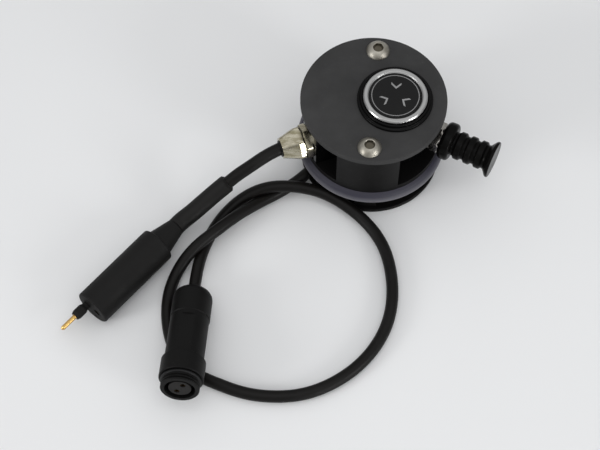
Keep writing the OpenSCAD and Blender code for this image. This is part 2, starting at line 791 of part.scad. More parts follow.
// The block fills part of one window, and its leg goes down through the deck
module feed_block() {
    color(GLOSS_BLACK) difference() {
        union() {
            intersection() {
                rotate([0, 0, gland_a]) translate([leg_pos - leg_r - 1, -block_w / 2, window_z])
                    cube([gland_seat - leg_pos + leg_r + 1, block_w, window_h]);
                translate([0, 0, window_z]) cylinder(r = body_r, h = window_h);
            }
            at_leg() translate([0, 0, cover_t]) cylinder(r = leg_r, h = window_z - cover_t + 1);
        }
        at_core() translate([0, 0, window_z - 1]) cylinder(r = ring_out_r + free_gap, h = window_h + 2);
        at_gland() translate([0, 0, gland_seat - gland_thread_l])
            cylinder(r = gland_thread_d / 2 + fit_gap, h = gland_thread_l + 1);
        at_gland() translate([0, 0, leg_pos]) cylinder(r = lead_d / 2, h = gland_seat - leg_pos);
        at_leg() translate([0, 0, lead_z - 1.5]) cylinder(r = channel_r, h = gland_z - lead_z + 3);
        at_lead_bore() cylinder(r = inner_d / 2 + run_gap, h = leg_r + 1);
        at_leg() translate([0, 0, window_z - 1])
            band(block_seal_r + block_groove_w / 2, block_seal_r - block_groove_w / 2, 0, face_groove_h + 1);
    }
}

module block_seal() {
    color(RUBBER) at_leg() o_ring(block_seal_r, window_z + face_groove_h / 2, face_groove_h - 0.05);
}

// A quarter bend of a round bar in the XZ plane, from angle a on
module elbow(bend, r, a) {
    rotate([90, 0, 0]) rotate([0, 0, a])
        rotate_extrude(angle = 90) translate([bend, 0]) circle(r = r, $fn = 24);
}

// Path of the conductors: in from the gland, down the leg, out to the inner lead
module conductors(r) {
    rotate([0, 0, gland_a]) for (side = [-1, 1]) translate([leg_pos, side * wire_off, 0]) {
        translate([wire_bend, 0, gland_z]) rotate([0, 90, 0])
            cylinder(r = r, h = lead_end - leg_pos - wire_bend);
        translate([wire_bend, 0, gland_z - wire_bend]) elbow(wire_bend, r, 90);
        translate([0, 0, lead_z + wire_bend]) cylinder(r = r, h = gland_z - lead_z - 2 * wire_bend);
        translate([wire_bend, 0, lead_z + wire_bend]) elbow(wire_bend, r, 180);
    }
}

module potting() {
    color([0.2, 0.2, 0.22]) difference() {
        union() {
            at_leg() translate([0, 0, lead_z - 1.5 + fit_gap])
                cylinder(r = channel_r - fit_gap, h = gland_z - lead_z + 3 - 2 * fit_gap);
            at_gland() translate([0, 0, leg_pos])
                cylinder(r = lead_d / 2 - fit_gap, h = gland_seat - gland_thread_l - leg_pos - fit_gap);
        }
        conductors(wire_r + fit_gap);
        at_lead_bore() translate([0, 0, wire_bend]) cylinder(r = inner_d / 2 + run_gap, h = leg_r);
    }
}

module feed_wires() { color([0.6, 0.1, 0.08]) conductors(wire_r); }

// Threaded shank, hexagon flange and a stub for the cone nut
module gland_body() {
    color(NICKEL) at_gland() difference() {
        union() {
            translate([0, 0, gland_seat - gland_thread_l + 0.1])
                cylinder(d = gland_thread_d, h = gland_thread_l);
            intersection() {
                translate([0, 0, gland_seat]) hexagon(gland_hex, gland_flange_t);
                translate([0, 0, gland_seat]) cylinder(r = gland_hex / 2 + 0.7, h = gland_flange_t);
            }
            translate([0, 0, flange_end - 1]) cylinder(d = gland_thread_d - 0.8, h = 5.5);
        }
        translate([0, 0, gland_seat - gland_thread_l - 1]) cylinder(r = lead_d / 2 + run_gap, h = 30);
    }
}

// Half outline of the cone nut, from its flats to its mouth
function cone_outline(flat_r) = [
    [-flat_r, 0], [flat_r, 0], [flat_r, 2.4], [gland_mouth_d / 2, gland_nut_l],
    [-gland_mouth_d / 2, gland_nut_l], [-flat_r, 2.4]
];

// A cone with six flats that run on to its mouth
module gland_nut() {
    start = flange_end + 0.1;
    color(NICKEL) at_gland() translate([0, 0, start]) difference() {
        intersection() {
            intersection_for (a = [0, 60, 120])
                rotate([90, 0, a]) linear_extrude(height = gland_hex * 2, center = true)
                    polygon(cone_outline(gland_hex / 2));
            turned([
                [0, 0], [gland_hex / 2 + 0.5, 0], [gland_hex / 2 + 0.9, 0.5], [gland_hex / 2 + 0.9, 2.4],
                [gland_mouth_d / 2 + 0.25, gland_nut_l], [0, gland_nut_l]
            ]);
        }
        translate([0, 0, -1]) cylinder(r = gland_thread_d / 2 - 0.4 + run_gap, h = 6);
        cylinder(r = lead_d / 2 + gland_seal_wall, h = gland_nut_l + 1);
    }
}

module gland_seal() {
    start = flange_end + 5;
    color(RUBBER) at_gland()
        band(lead_d / 2 + gland_seal_wall - fit_gap, lead_d / 2 + run_gap, start, gland_end + 0.4);
}

// ---- Heating lead and plug ----

heating_points = concat(
    [gland_point(lead_end), gland_point(gland_end)],
    heating_route,
    [plug_point(-plug_neck_l - 4), plug_point(-plug_neck_l)]
);
sleeve_points = [for (i = [2 + sleeve_from:len(heating_points) - 1]) heating_points[i]];

module heating_lead() { color(RUBBER) tube(heating_points, lead_d / 2, 10); }

module lead_sleeve() { color(BLACK) sleeve(sleeve_points, sleeve_d / 2, lead_d / 2 + 0.15, 10); }

// Moulded barrel with a tapered neck, a stub for the pin and a well for the socket
module plug_body() {
    r = plug_d / 2;
    shoulder_r = r - 1.7;
    round = 0.8;
    color(RUBBER) at_plug() difference() {
        union() {
            turned(concat(
                [[0, -plug_neck_l], [neck_d / 2, -plug_neck_l], [shoulder_r, 0]],
                arc([r - round, round], round, -90, 0),
                arc([r - round, plug_l - round], round, 0, 90),
                [[0, plug_l]]
            ));
            translate([0, pin_y, 0]) turned([
                [0, plug_l - 1], [stub_d / 2 - 0.5, plug_l - 1], [stub_d / 2 - 0.5, plug_l + 1.6],
                [stub_d / 2, plug_l + 2.6], [stub_d / 2, plug_l + stub_l - 1.2],
                [stub_d / 2 - 0.5, plug_l + stub_l], [0, plug_l + stub_l]
            ]);
        }
        translate([0, pin_y, plug_l - plug_core_l]) cylinder(r = pin_shank_r + fit_gap, h = 40);
        translate([0, -pin_y, plug_l - plug_core_l]) cylinder(r = socket_r + fit_gap, h = 40);
        for (side = [-1, 1]) plug_wire(wire_r + fit_gap, side);
    }
}

// A conductor of the plug, from the neck's end to the back of its contact
module plug_wire(r, side) {
    run = plug_neck_l + plug_l - plug_core_l;
    slope = atan2(plug_pitch / 2 - wire_off, run);
    translate([0, side * wire_off, -plug_neck_l]) rotate([-side * slope, 0, 0])
        cylinder(r = r, h = run / cos(slope));
}

module plug_wires() { color([0.6, 0.1, 0.08]) at_plug() for (side = [-1, 1]) plug_wire(wire_r, side); }

// The pin's thicker shank ends just outside its stub
module plug_pin() {
    r = pin_d / 2;
    shank_end = plug_core_l + stub_l + 0.1;
    tip = plug_core_l + stub_l + pin_l;
    color(GOLD) at_plug() translate([0, pin_y, plug_l - plug_core_l]) turned([
        [0, 0.3], [pin_shank_r, 0.3], [pin_shank_r, shank_end], [r, shank_end],
        [r, tip - 0.8], [r - 0.6, tip], [0, tip]
    ]);
}

// The socket contact takes the other plug's pin
module plug_socket() {
    color(GOLD) at_plug() translate([0, -pin_y, plug_l - plug_core_l]) difference() {
        translate([0, 0, 0.3]) cylinder(r = socket_r, h = plug_core_l - 0.8);
        translate([0, 0, 2.5]) cylinder(r = pin_d / 2 + run_gap, h = plug_core_l);
    }
}

// ---- Inner lead and connector ----

inner_points = concat(
    [leg_point(wire_bend), leg_point(leg_r + 2)],
    inner_route,
    [conn_point(-8), conn_point(8)]
);

module inner_lead() { color(RUBBER) tube(inner_points, inner_d / 2, 10); }

module connector_nut() {
    r = conn_nut_d / 2;
    dome = 4.5;
    color(RUBBER) at_connector() difference() {
        turned(concat(
            [[0, 0], [inner_d / 2 + 1.2, 0]],
            [for (i = [0:5]) let(a = 18 * i) [r - 4.9 * (1 - sin(a)), 0.2 + dome * (1 - cos(a))]],
            [[r, conn_nut_l - 0.4], [r - 0.4, conn_nut_l], [0, conn_nut_l]]
        ));
        translate([0, 0, -1]) cylinder(r = inner_d / 2 + run_gap, h = bush_s + 2);
        translate([0, 0, bush_s]) cylinder(r = conn_stub_r + fit_gap, h = conn_nut_l);
    }
}

module connector_bush() {
    color(GREY_RUBBER) at_connector()
        band(conn_stub_r - 0.1, inner_d / 2 + run_gap, bush_s + fit_gap, bush_s + bush_l);
}

// Shell: a stub in the nut, a body with two flats, a collar and a threaded mouth
module connector_shell() {
    stub_s = bush_s + bush_l + fit_gap;
    r = conn_shell_d / 2;
    c = conn_collar_d / 2;
    t = conn_thread_d / 2;
    groove = 0.7;
    first = conn_thread_s + 2.1;
    pitch = 1.3;
    color(RUBBER) at_connector() difference() {
        turned(concat(
            [[0, stub_s], [conn_stub_r, stub_s], [conn_stub_r, conn_nut_l + fit_gap]],
            [[r, conn_nut_l + fit_gap], [r, conn_collar_s], [c, conn_collar_s + 0.9]],
            [[c, conn_thread_s - 0.3], [c - 0.3, conn_thread_s]],
            [[t - 1, conn_thread_s], [t - 1, conn_thread_s + 1.5], [t, conn_thread_s + 1.5]],
            [for (s = [first:pitch:conn_end - pitch])
                each [[t, s], [t - groove, s + 0.3], [t - groove, s + 0.5], [t, s + 0.8]]],
            [[t, conn_end - 0.3], [t - 0.3, conn_end], [0, conn_end]]
        ));
        translate([0, 0, stub_s - 1]) cylinder(r = conn_insert_d / 2, h = conn_end);
        translate([0, 0, conn_thread_s]) cylinder(d = conn_mouth_d, h = conn_thread_l + 1);
        for (side = [-1, 1])
            translate([side * (r - 0.5 + 2), 0, conn_nut_l + (conn_shell_l + 2) / 2 + 0.5])
                cube([4, conn_shell_d, conn_shell_l - 1], center = true);
    }
}

// Places its children at a contact of the connector
module at_contact(side, s) {
    rotate([0, 0, conn_contact_a]) translate([side * conn_pitch / 2, 0, s]) children();
}

module connector_insert() {
    color(BLACK) at_connector() difference() {
        translate([0, 0, insert_s]) cylinder(r = conn_insert_d / 2 - fit_gap, h = insert_end - insert_s);
        for (side = [-1, 1]) at_contact(side, insert_s - 1) cylinder(r = contact_r + fit_gap, h = 30);
    }
}

module connector_contacts() {
    color(GOLD) at_connector() for (side = [-1, 1]) at_contact(side, insert_s + 0.5) difference() {
        cylinder(r = contact_r, h = insert_end - insert_s - 1);
        translate([0, 0, 3]) cylinder(r = contact_bore_r, h = 30);
    }
}

module connector_seal() {
    color(RUBBER) at_connector() o_ring(conn_thread_d / 2 - 0.3, conn_thread_s + 0.75, 1.35);
}

// Conductors from the end of the inner lead to the contacts
module connector_wires() {
    start = 8;
    run = insert_s + 0.5 - start;
    slope = atan2(conn_pitch / 2 - wire_off, run);
    color([0.6, 0.1, 0.08]) at_connector() for (side = [-1, 1])
        rotate([0, 0, conn_contact_a]) translate([side * wire_off, 0, start])
            rotate([0, side * slope, 0]) cylinder(r = wire_r, h = run / cos(slope) - 0.3);
}

top_plate();
plate_screws();
housing();
suit_washer();
clamp_nut();
inner_cover();
cover_screws();
valve_core();
core_nut();
core_seal();
swivel_seals();
stem_seal();
swivel_ring();
nipple();
nipple_seal();
dust_cap();
bezel();
button_cap();
button_ring();
button_disc();
button_spring();
valve_stem();
poppet();
poppet_seal();
poppet_nut();
feed_block();
block_seal();
potting();
feed_wires();
gland_body();
gland_nut();
gland_seal();
heating_lead();
lead_sleeve();
plug_body();
plug_pin();
plug_socket();
plug_wires();
inner_lead();
connector_nut();
connector_bush();
connector_shell();
connector_insert();
connector_contacts();
connector_seal();
connector_wires();
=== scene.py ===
"""Dry suit inflation valve with heating lead: finishes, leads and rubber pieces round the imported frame.

Lengths are in metres. MM turns the millimetres of the driving sizes into metres.
"""
import math

import bpy
import numpy as np
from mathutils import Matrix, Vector


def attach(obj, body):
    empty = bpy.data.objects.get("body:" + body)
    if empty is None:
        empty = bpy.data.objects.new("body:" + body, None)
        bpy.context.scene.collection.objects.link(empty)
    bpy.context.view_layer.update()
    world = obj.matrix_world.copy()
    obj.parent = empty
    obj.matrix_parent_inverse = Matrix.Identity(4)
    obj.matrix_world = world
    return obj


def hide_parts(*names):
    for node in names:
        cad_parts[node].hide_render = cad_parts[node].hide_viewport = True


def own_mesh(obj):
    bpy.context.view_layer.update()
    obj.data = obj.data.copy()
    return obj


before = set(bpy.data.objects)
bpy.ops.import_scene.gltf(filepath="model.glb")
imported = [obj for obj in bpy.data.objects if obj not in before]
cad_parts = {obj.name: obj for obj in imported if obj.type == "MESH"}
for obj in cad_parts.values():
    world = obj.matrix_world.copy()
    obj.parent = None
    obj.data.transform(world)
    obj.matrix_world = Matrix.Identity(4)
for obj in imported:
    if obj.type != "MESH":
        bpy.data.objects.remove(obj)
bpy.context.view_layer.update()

MM = 0.001

# ---- Driving sizes, in millimetres: _R is a radius, _S a length along a piece's own axis ----

BODY_R = 30.5
NECK_R = 24.8
WASHER_Z = 11.5
WASHER_T = 5.0
WASHER_LIP = 2.8
CORE_X = 9.2
NIPPLE_Z = 31.25
NIPPLE_A = -21.0
SCREW_Y = 25.0
SCREW_L = 16.0
SCREW_R = 3.0
HEAD_R = 5.2
DOME_R = 5.826
PLATE_TOP = 46.0
PLATE_UNDER = 43.0
HEAD_TOP = 49.3
SOCKET_FLAT = 2.0
SOCKET_DEPTH = 2.0
BEZEL_IN_R = 14.3
BEZEL_THREAD_R = 15.2
BEZEL_OUT_R = 16.5
BEZEL_STOP = 44.4
BEZEL_TOP = 48.9
BUTTON_R = 14.0
RING_IN_R = 11.6
RING_FOOT = 48.4
RING_TOP = 50.0
DISC_R = 11.45
DISC_FOOT = 49.0
DISC_Z = 49.6
SPRING_D = 11.4
SPRING_WIRE = 1.0
SPRING_TURNS = 6
SPRING_FOOT = 36.1
SPRING_TOP = 46.5
GLAND_A = 205.0
GLAND_Z = 27.5
GLAND_HEX = 7.0
GLAND_IN_R = 2.9
GLAND_THREAD_R = 5.0
GLAND_STUB_R = 4.6
GLAND_START_S = 20.9
GLAND_SEAT_S = 29.8
GLAND_FLANGE_S = 33.1
GLAND_STUB_S = 37.6
GLAND_NUT_S = 33.2
GLAND_NUT_R = 7.9
GLAND_NUT_IN_R = 4.65
GLAND_MOUTH_R = 4.85
GLAND_MOUTH_IN_R = 3.75
GLAND_LEAN = 2.5
GLAND_SHOULDER_S = 35.6
GLAND_STEP_S = 38.2
GLAND_MOUTH_S = 43.0
NIPPLE_BORE_R = 1.5
NIPPLE_THREAD_R = 3.1
NIPPLE_START_S = 15.85
NIPPLE_WAIST_R = 3.8
NIPPLE_R = 4.4
NIPPLE_GROOVE_R = 3.6
NIPPLE_END_S = 40.94
COLLAR_HEX = 6.0
COLLAR_R = 6.95
COLLAR_S = 19.5
COLLAR_END_S = 23.94
CAP_S = 24.04
CAP_RIM_R = 8.5
CAP_RIM_T = 5.2
CAP_BORE_R = 4.45
CAP_BORE_L = 18.0
CAP_NECK_R = 5.3
CAP_RIBS = 3
CAP_RIB_R = 6.3
CAP_RIB_S = 32.44
CAP_RIB_PITCH = 4.9
CAP_FLARE_R = 8.22
CAP_END_S = 48.34
LEG_POS = 17.1
LEG_R = 4.5
LEAD_EXIT_Z = 5.2
LEAD_D = 5.7
SLEEVE_D = 8.2
INNER_D = 5.3
PLUG_AT = (-89.0, -60.5, 8.25)
PLUG_A = -125.5
PLUG_NECK_L = 11.0
CONNECTOR_AT = (-70.5, -81.75, 7.59)
CONNECTOR_A = -88.8
CONNECTOR_TILT = 11.8

# Routes of the two leads: points along the middle of each, the same as the CAD's
HEATING_ROUTE = [
    (-45, -22, 26.6), (-51.5, -26.5, 24.2), (-56.5, -29.5, 21.5), (-61, -32.5, 18.6),
    (-66, -36, 15.2), (-72, -41, 11.8), (-77, -45.5, 9.6),
]
SLEEVE_FROM = 3
INNER_ROUTE = [
    (-27.6, -16.9, 5), (-36.4, -24.4, 2.9), (-46.9, -33.3, 4.5), (-55.9, -42.3, 7.3),
    (-64.3, -51.7, 8.8), (-73, -61, 7.8), (-79.1, -70.6, 4.3), (-81.8, -82.2, 2.7),
    (-80.8, -94, 2.7), (-76.7, -105.9, 2.7), (-68.4, -116, 2.7), (-56.4, -121.2, 2.7),
    (-44.6, -124.3, 2.7), (-32, -124.9, 2.7), (-19.3, -122.6, 2.7), (-7.8, -116.9, 2.7),
    (2.1, -108.5, 2.7), (9.7, -97.8, 2.7), (14.2, -85.7, 2.7), (15.3, -73, 2.7),
    (13.6, -60.7, 2.7), (9.3, -48.9, 2.7), (1.9, -39.1, 3), (-8, -31.9, 4.7),
    (-19.9, -27.1, 6.8), (-32.5, -26.3, 8.7), (-44.6, -27.6, 7.8), (-55.6, -32.9, 4.6),
    (-63.4, -42.3, 2.8), (-67.9, -53, 2.8), (-70.2, -64.5, 4.6),
]


# ---- Places ----


class Place:
    """A local frame: along is the direction of s, across and up span the plane that radii lie in."""

    def __init__(self, at, azimuth, tilt=0.0):
        a, t = math.radians(azimuth), math.radians(tilt)
        self.at = np.array(at, float)
        self.along = np.array([math.cos(t) * math.cos(a), math.cos(t) * math.sin(a), math.sin(t)])
        self.across = np.array([-math.sin(a), math.cos(a), 0.0])
        self.up = np.cross(self.along, self.across)

    def point(self, s):
        """The point on the axis at s."""
        return self.at + s * self.along

    def grid(self, radius, s, angle):
        """Points at that radius and angle about the axis, s along it."""
        flat = radius[..., None] * (
            np.cos(angle)[..., None] * self.across + np.sin(angle)[..., None] * self.up
        )
        return self.at + s[..., None] * self.along + flat


NIPPLE = Place((CORE_X, 0, NIPPLE_Z), NIPPLE_A)
GLAND = Place((0, 0, GLAND_Z), GLAND_A)
GLAND_TURN = math.radians(GLAND_A)
LEG = Place((LEG_POS * math.cos(GLAND_TURN), LEG_POS * math.sin(GLAND_TURN), LEAD_EXIT_Z), GLAND_A)
PLUG = Place(PLUG_AT, PLUG_A)
CONNECTOR = Place(CONNECTOR_AT, CONNECTOR_A, CONNECTOR_TILT)
UPRIGHT = Place((0, 0, 0), 0, 90)
CORE = Place((CORE_X, 0, 0), 0, 90)


# ---- Surfaces ----

# Edges that turn by more than this many degrees stay sharp
SHARP = 38.0


def ring_faces(rings, sides, first=0):
    """Quads between neighbouring rings of a closed tube, and one cap at each end."""
    i = np.arange(rings - 1)[:, None]
    k = np.arange(sides)[None, :]
    a = first + i * sides + k
    b = first + i * sides + (k + 1) % sides
    quads = np.stack([a, b, b + sides, a + sides], -1).reshape(-1, 4)
    start = list(range(first + sides - 1, first - 1, -1))
    last = first + (rings - 1) * sides
    return quads.tolist() + [start, list(range(last, last + sides))]


def piece(name, points, faces, body, finish, smooth=True):
    """Makes a mesh of points in millimetres, which rides on a body and has a finish."""
    mesh = bpy.data.meshes.new(name)
    mesh.from_pydata((np.asarray(points).reshape(-1, 3) * MM).tolist(), [], faces)
    mesh.polygons.foreach_set("use_smooth", [smooth] * len(mesh.polygons))
    mesh.set_sharp_from_angle(angle=math.radians(SHARP))
    mesh.materials.append(finish)
    obj = bpy.data.objects.new(name, mesh)
    bpy.context.scene.collection.objects.link(obj)
    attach(obj, body)
    return obj


def lay_uv(obj, rings, sides, lengths):
    """UV of a tube: u goes once round it, and v is the length along it in metres."""
    layer = obj.data.uv_layers.new(name="along")
    loops = np.empty(len(obj.data.loops), int)
    obj.data.loops.foreach_get("vertex_index", loops)
    ring, side = np.minimum(loops // sides, rings - 1), loops % sides
    u = side / sides
    quads = loops[: (rings - 1) * sides * 4].reshape(-1, 4)
    wraps = (quads % sides).max(1) - (quads % sides).min(1) == sides - 1
    edge = np.zeros(len(loops), bool)
    edge[: quads.size] = (np.repeat(wraps, 4)) & (loops[: quads.size] % sides == 0)
    u = u + edge
    layer.data.foreach_set("uv", np.stack([u, np.asarray(lengths)[ring] * MM], -1).ravel())


def filleted(corners, steps=6):
    """Outline through (radius, s, fillet) corners, each with a fillet rounded by an arc of that radius.

    The arc touches both sides of its corner, and its points turn in equal steps about its centre.
    """
    p = np.array([c[:2] for c in corners], float)
    out = []
    for i, (r, s, fillet) in enumerate(corners):
        if fillet <= 0 or i in (0, len(corners) - 1):
            out.append((r, s))
            continue
        a, b = p[i - 1] - p[i], p[i + 1] - p[i]
        la, lb = np.linalg.norm(a), np.linalg.norm(b)
        a, b = a / la, b / lb
        half = math.acos(np.clip(a @ b, -1, 1)) / 2
        if half > math.radians(89):
            out.append((r, s))
            continue
        cut = min(fillet / math.tan(half), 0.49 * la, 0.49 * lb)
        radius = cut * math.tan(half)
        middle = (a + b) / np.linalg.norm(a + b)
        centre = p[i] + middle * radius / math.sin(half)
        start, end = p[i] + a * cut - centre, p[i] + b * cut - centre
        a0 = math.atan2(start[1], start[0])
        turn = (math.atan2(end[1], end[0]) - a0 + math.pi) % (2 * math.pi) - math.pi
        angles = a0 + turn * np.linspace(0, 1, steps + 1)
        arc = list(zip(centre[0] + radius * np.cos(angles), centre[1] + radius * np.sin(angles)))
        hold = 0.15 * min(cut, la - cut, lb - cut)
        out += [tuple(p[i] + a * (cut + hold)), *arc, tuple(p[i] + b * (cut + hold))]
    return np.array(out)


def turned(name, corners, places, body, finish, sides=96, steps=6, shape=None):
    """A closed outline of (radius, s, fillet) corners, turned about the axis of each place.

    shape, if given, is a function of radius, s and angle that returns the radius to use instead.
    """
    outline = filleted(corners, steps)
    rings = len(outline)
    angle = np.linspace(0, 2 * math.pi, sides, endpoint=False)
    r = np.repeat(outline[:, :1], sides, 1)
    s = np.repeat(outline[:, 1:], sides, 1)
    turn = np.repeat(angle[None, :], rings, 0)
    if shape is not None:
        r = shape(r, s, turn)
    solid = corners[0][0] < 1e-6 and corners[-1][0] < 1e-6
    if solid:
        faces = ring_faces(rings - 2, sides)[:-2]
        low, high, last = (rings - 2) * sides, (rings - 2) * sides + 1, (rings - 3) * sides
        faces += [[low, (k + 1) % sides, k] for k in range(sides)]
        faces += [[high, last + k, last + (k + 1) % sides] for k in range(sides)]
    else:
        i, k = np.arange(rings)[:, None], np.arange(sides)[None, :]
        low, high = i * sides, (i + 1) % rings * sides
        faces = np.stack([low + k, low + (k + 1) % sides, high + (k + 1) % sides, high + k], -1)
        faces = faces.reshape(-1, 4).tolist()
    points, all_faces = np.empty((0, 3)), []
    for place in places if isinstance(places, list) else [places]:
        grid = place.grid(r, s, turn)
        one = grid.reshape(-1, 3)
        if solid:
            one = np.concatenate([grid[1:-1].reshape(-1, 3), [grid[0, 0]], [grid[-1, 0]]])
        all_faces += [[v + len(points) for v in f] for f in faces]
        points = np.concatenate([points, one])
    obj = piece(name, points, all_faces, body, finish)
    face_outwards(obj)
    return obj


def from_flat(angle, flats=6, turn=0.0):
    """Angle from the middle of the nearest of that many flats, in radians. turn is in degrees."""
    step = 2 * math.pi / flats
    return (angle - math.radians(turn) + step / 2) % step - step / 2


def least(a, b, soft):
    """The lesser of two values, rounded where they meet: less soft * log(1 + exp(-|a - b| / soft))."""
    return np.minimum(a, b) - soft * np.log1p(np.exp(-np.abs(a - b) / soft))


def face_outwards(obj):
    """Turns the faces of a closed mesh outwards, by the sign of its volume."""
    mesh = obj.data
    n = len(mesh.vertices)
    co = np.empty(n * 3)
    mesh.vertices.foreach_get("co", co)
    co = co.reshape(-1, 3)
    mesh.calc_loop_triangles()
    tri = np.empty(len(mesh.loop_triangles) * 3, int)
    mesh.loop_triangles.foreach_get("vertices", tri)
    a, b, c = (co[tri.reshape(-1, 3)[:, j]] for j in range(3))
    if np.einsum("ij,ij->i", a, np.cross(b, c)).sum() < 0:
        mesh.flip_normals()


def spline(points, spacing):
    """Natural cubic spline through the points, by chord length, at about equal spacing.

    The second derivatives solve the usual three-term equations, with none at either end.
    """
    p = np.asarray(points, float)
    h = np.linalg.norm(np.diff(p, axis=0), axis=1)
    t = np.concatenate([[0], np.cumsum(h)])
    n = len(p)
    m = np.zeros((n, n))
    rhs = np.zeros((n, 3))
    m[0, 0] = m[-1, -1] = 1
    for i in range(1, n - 1):
        m[i, i - 1: i + 2] = h[i - 1], 2 * (h[i - 1] + h[i]), h[i]
        rhs[i] = 6 * ((p[i + 1] - p[i]) / h[i] - (p[i] - p[i - 1]) / h[i - 1])
    bend = np.linalg.solve(m, rhs)
    u = np.linspace(0, t[-1], int(t[-1] / spacing) + 2)
    i = np.clip(np.searchsorted(t, u, side="right") - 1, 0, n - 2)
    left, right, w = (u - t[i])[:, None], (t[i + 1] - u)[:, None], h[i][:, None]
    return (
        bend[i] * right**3 / (6 * w) + bend[i + 1] * left**3 / (6 * w)
        + (p[i] / w - bend[i] * w / 6) * right + (p[i + 1] / w - bend[i + 1] * w / 6) * left
    )


def along(path):
    """Length from the start to each point of a path."""
    return np.concatenate([[0], np.cumsum(np.linalg.norm(np.diff(path, axis=0), axis=1))])


def swept(name, path, radius, sides, body, finish):
    """Rings of that radius about a path, in the plane square to it.

    Each ring is spanned by the level direction square to the path and by the one square to both.
    """
    t = np.gradient(path, axis=0)
    t /= np.linalg.norm(t, axis=1)[:, None]
    level = np.cross(t, [0, 0, 1.0])
    level /= np.linalg.norm(level, axis=1)[:, None]
    rise = np.cross(level, t)
    angle = np.linspace(0, 2 * math.pi, sides, endpoint=False)
    r = np.broadcast_to(np.asarray(radius, float), (len(path),))[:, None, None]
    points = path[:, None, :] + r * (
        np.cos(angle)[None, :, None] * level[:, None, :]
        + np.sin(angle)[None, :, None] * rise[:, None, :]
    )
    obj = piece(name, points, ring_faces(len(path), sides), body, finish)
    lay_uv(obj, len(path), sides, along(path))
    face_outwards(obj)
    return obj


# ---- Finishes ----


class Finish:
    """A procedural material: a Principled shader and helpers that add textures to it."""

    def __init__(self, name, colour, rough, metal=0.0, specular=0.5):
        self.mat = bpy.data.materials.new(name)
        self.mat.use_nodes = True
        self.nodes, self.links = self.mat.node_tree.nodes, self.mat.node_tree.links
        self.shader = self.nodes["Principled BSDF"]
        for socket, value in (
            ("Base Color", (*colour, 1)), ("Roughness", rough), ("Metallic", metal),
            ("Specular IOR Level", specular),
        ):
            self.shader.inputs[socket].default_value = value
        self.space = self.nodes.new("ShaderNodeTexCoord").outputs["Object"]
        self.last_bump = None

    def stretched(self, scale, turn=(0, 0, 0), at=(0, 0, 0), space=None):
        """Coordinates moved, turned and scaled by a Mapping node of the texture kind."""
        node = self.nodes.new("ShaderNodeMapping")
        node.vector_type = "POINT"
        node.inputs["Location"].default_value = at
        node.inputs["Rotation"].default_value = [math.radians(a) for a in turn]
        node.inputs["Scale"].default_value = scale
        self.links.new(space or self.space, node.inputs["Vector"])
        return node.outputs["Vector"]

    def noise(self, scale, detail=4.0, rough=0.55, space=None):
        node = self.nodes.new("ShaderNodeTexNoise")
        for socket, value in (("Scale", scale), ("Detail", detail), ("Roughness", rough)):
            node.inputs[socket].default_value = value
        self.links.new(space or self.space, node.inputs["Vector"])
        return node.outputs["Fac"]

    def split(self, space=None):
        """The x, y and z of coordinates, as outputs."""
        node = self.nodes.new("ShaderNodeSeparateXYZ")
        self.links.new(space or self.space, node.inputs[0])
        return node.outputs

    def spread(self, value, low, high, out_low=0.0, out_high=1.0):
        """Value from low..high onto out_low..out_high."""
        node = self.nodes.new("ShaderNodeMapRange")
        for i, v in enumerate((low, high, out_low, out_high)):
            node.inputs[i + 1].default_value = v
        self.links.new(value, node.inputs[0])
        return node.outputs[0]

    def math(self, operation, a, b=None):
        node = self.nodes.new("ShaderNodeMath")
        node.operation = operation
        for socket, v in zip(node.inputs, (a, b)):
            if v is None:
                continue
            if isinstance(v, (int, float)):
                socket.default_value = v
            else:
                self.links.new(v, socket)
        return node.outputs[0]

    def mixed(self, factor, a, b):
        """Colour a where the factor is 0 and b where it is 1; either may be an output."""
        node = self.nodes.new("ShaderNodeMix")
        node.data_type = "RGBA"
        self.links.new(factor, node.inputs["Factor"])
        for socket, v in ((node.inputs[6], a), (node.inputs[7], b)):
            if isinstance(v, tuple):
                socket.default_value = (*v, 1)
            else:
                self.links.new(v, socket)
        return node.outputs[2]

    def colour(self, output):
        self.links.new(output, self.shader.inputs["Base Color"])

    def rough(self, output):
        self.links.new(output, self.shader.inputs["Roughness"])

    def bump(self, height, strength, distance):
        """Adds a bump on top of those before it. distance is in metres."""
        node = self.nodes.new("ShaderNodeBump")
        node.inputs["Strength"].default_value = strength
        node.inputs["Distance"].default_value = distance
        self.links.new(height, node.inputs["Height"])
        if self.last_bump is not None:
            self.links.new(self.last_bump, node.inputs["Normal"])
        self.last_bump = node.outputs["Normal"]
        self.links.new(self.last_bump, self.shader.inputs["Normal"])


def moulded(name, colour, rough, grain=2500, depth=0.00002, dust=0.2, specular=0.3):
    """Moulded or turned plastic: spark-eroded grain, slow shade changes, and a little dust."""
    f = Finish(name, colour, rough, specular=specular)
    slow = f.noise(55, 5, 0.6)
    specks = f.spread(f.noise(900, 2, 0.5), 0.68, 0.76)
    dark = tuple(0.88 * c for c in colour)
    pale = tuple(1.12 * c for c in colour)
    body = f.mixed(f.spread(slow, 0.35, 0.65), dark, pale)
    f.colour(f.mixed(f.math("MULTIPLY", specks, dust), body, tuple(c + 0.04 for c in colour)))
    f.rough(f.spread(slow, 0.3, 0.7, max(0.02, rough - 0.06), min(1, rough + 0.06)))
    f.bump(f.noise(grain, 3, 0.6), 0.4, depth)
    return f


def polished_black(name, colour=(0.0025, 0.0025, 0.0028), rough=0.07, specular=0.35):
    """Polished black plastic: faint haze, and hair scratches that run round it."""
    f = Finish(name, colour, rough, specular=specular)
    f.rough(f.spread(f.noise(140, 4, 0.6), 0.35, 0.7, rough * 0.8, rough * 2))
    scratch = f.spread(f.noise(60, 8, 0.75, f.stretched((1, 1, 16))), 0.62, 0.7)
    f.colour(f.mixed(f.math("MULTIPLY", scratch, 0.15), colour, tuple(c + 0.008 for c in colour)))
    f.bump(f.noise(500, 3, 0.5), 0.06, 0.00002)
    return f


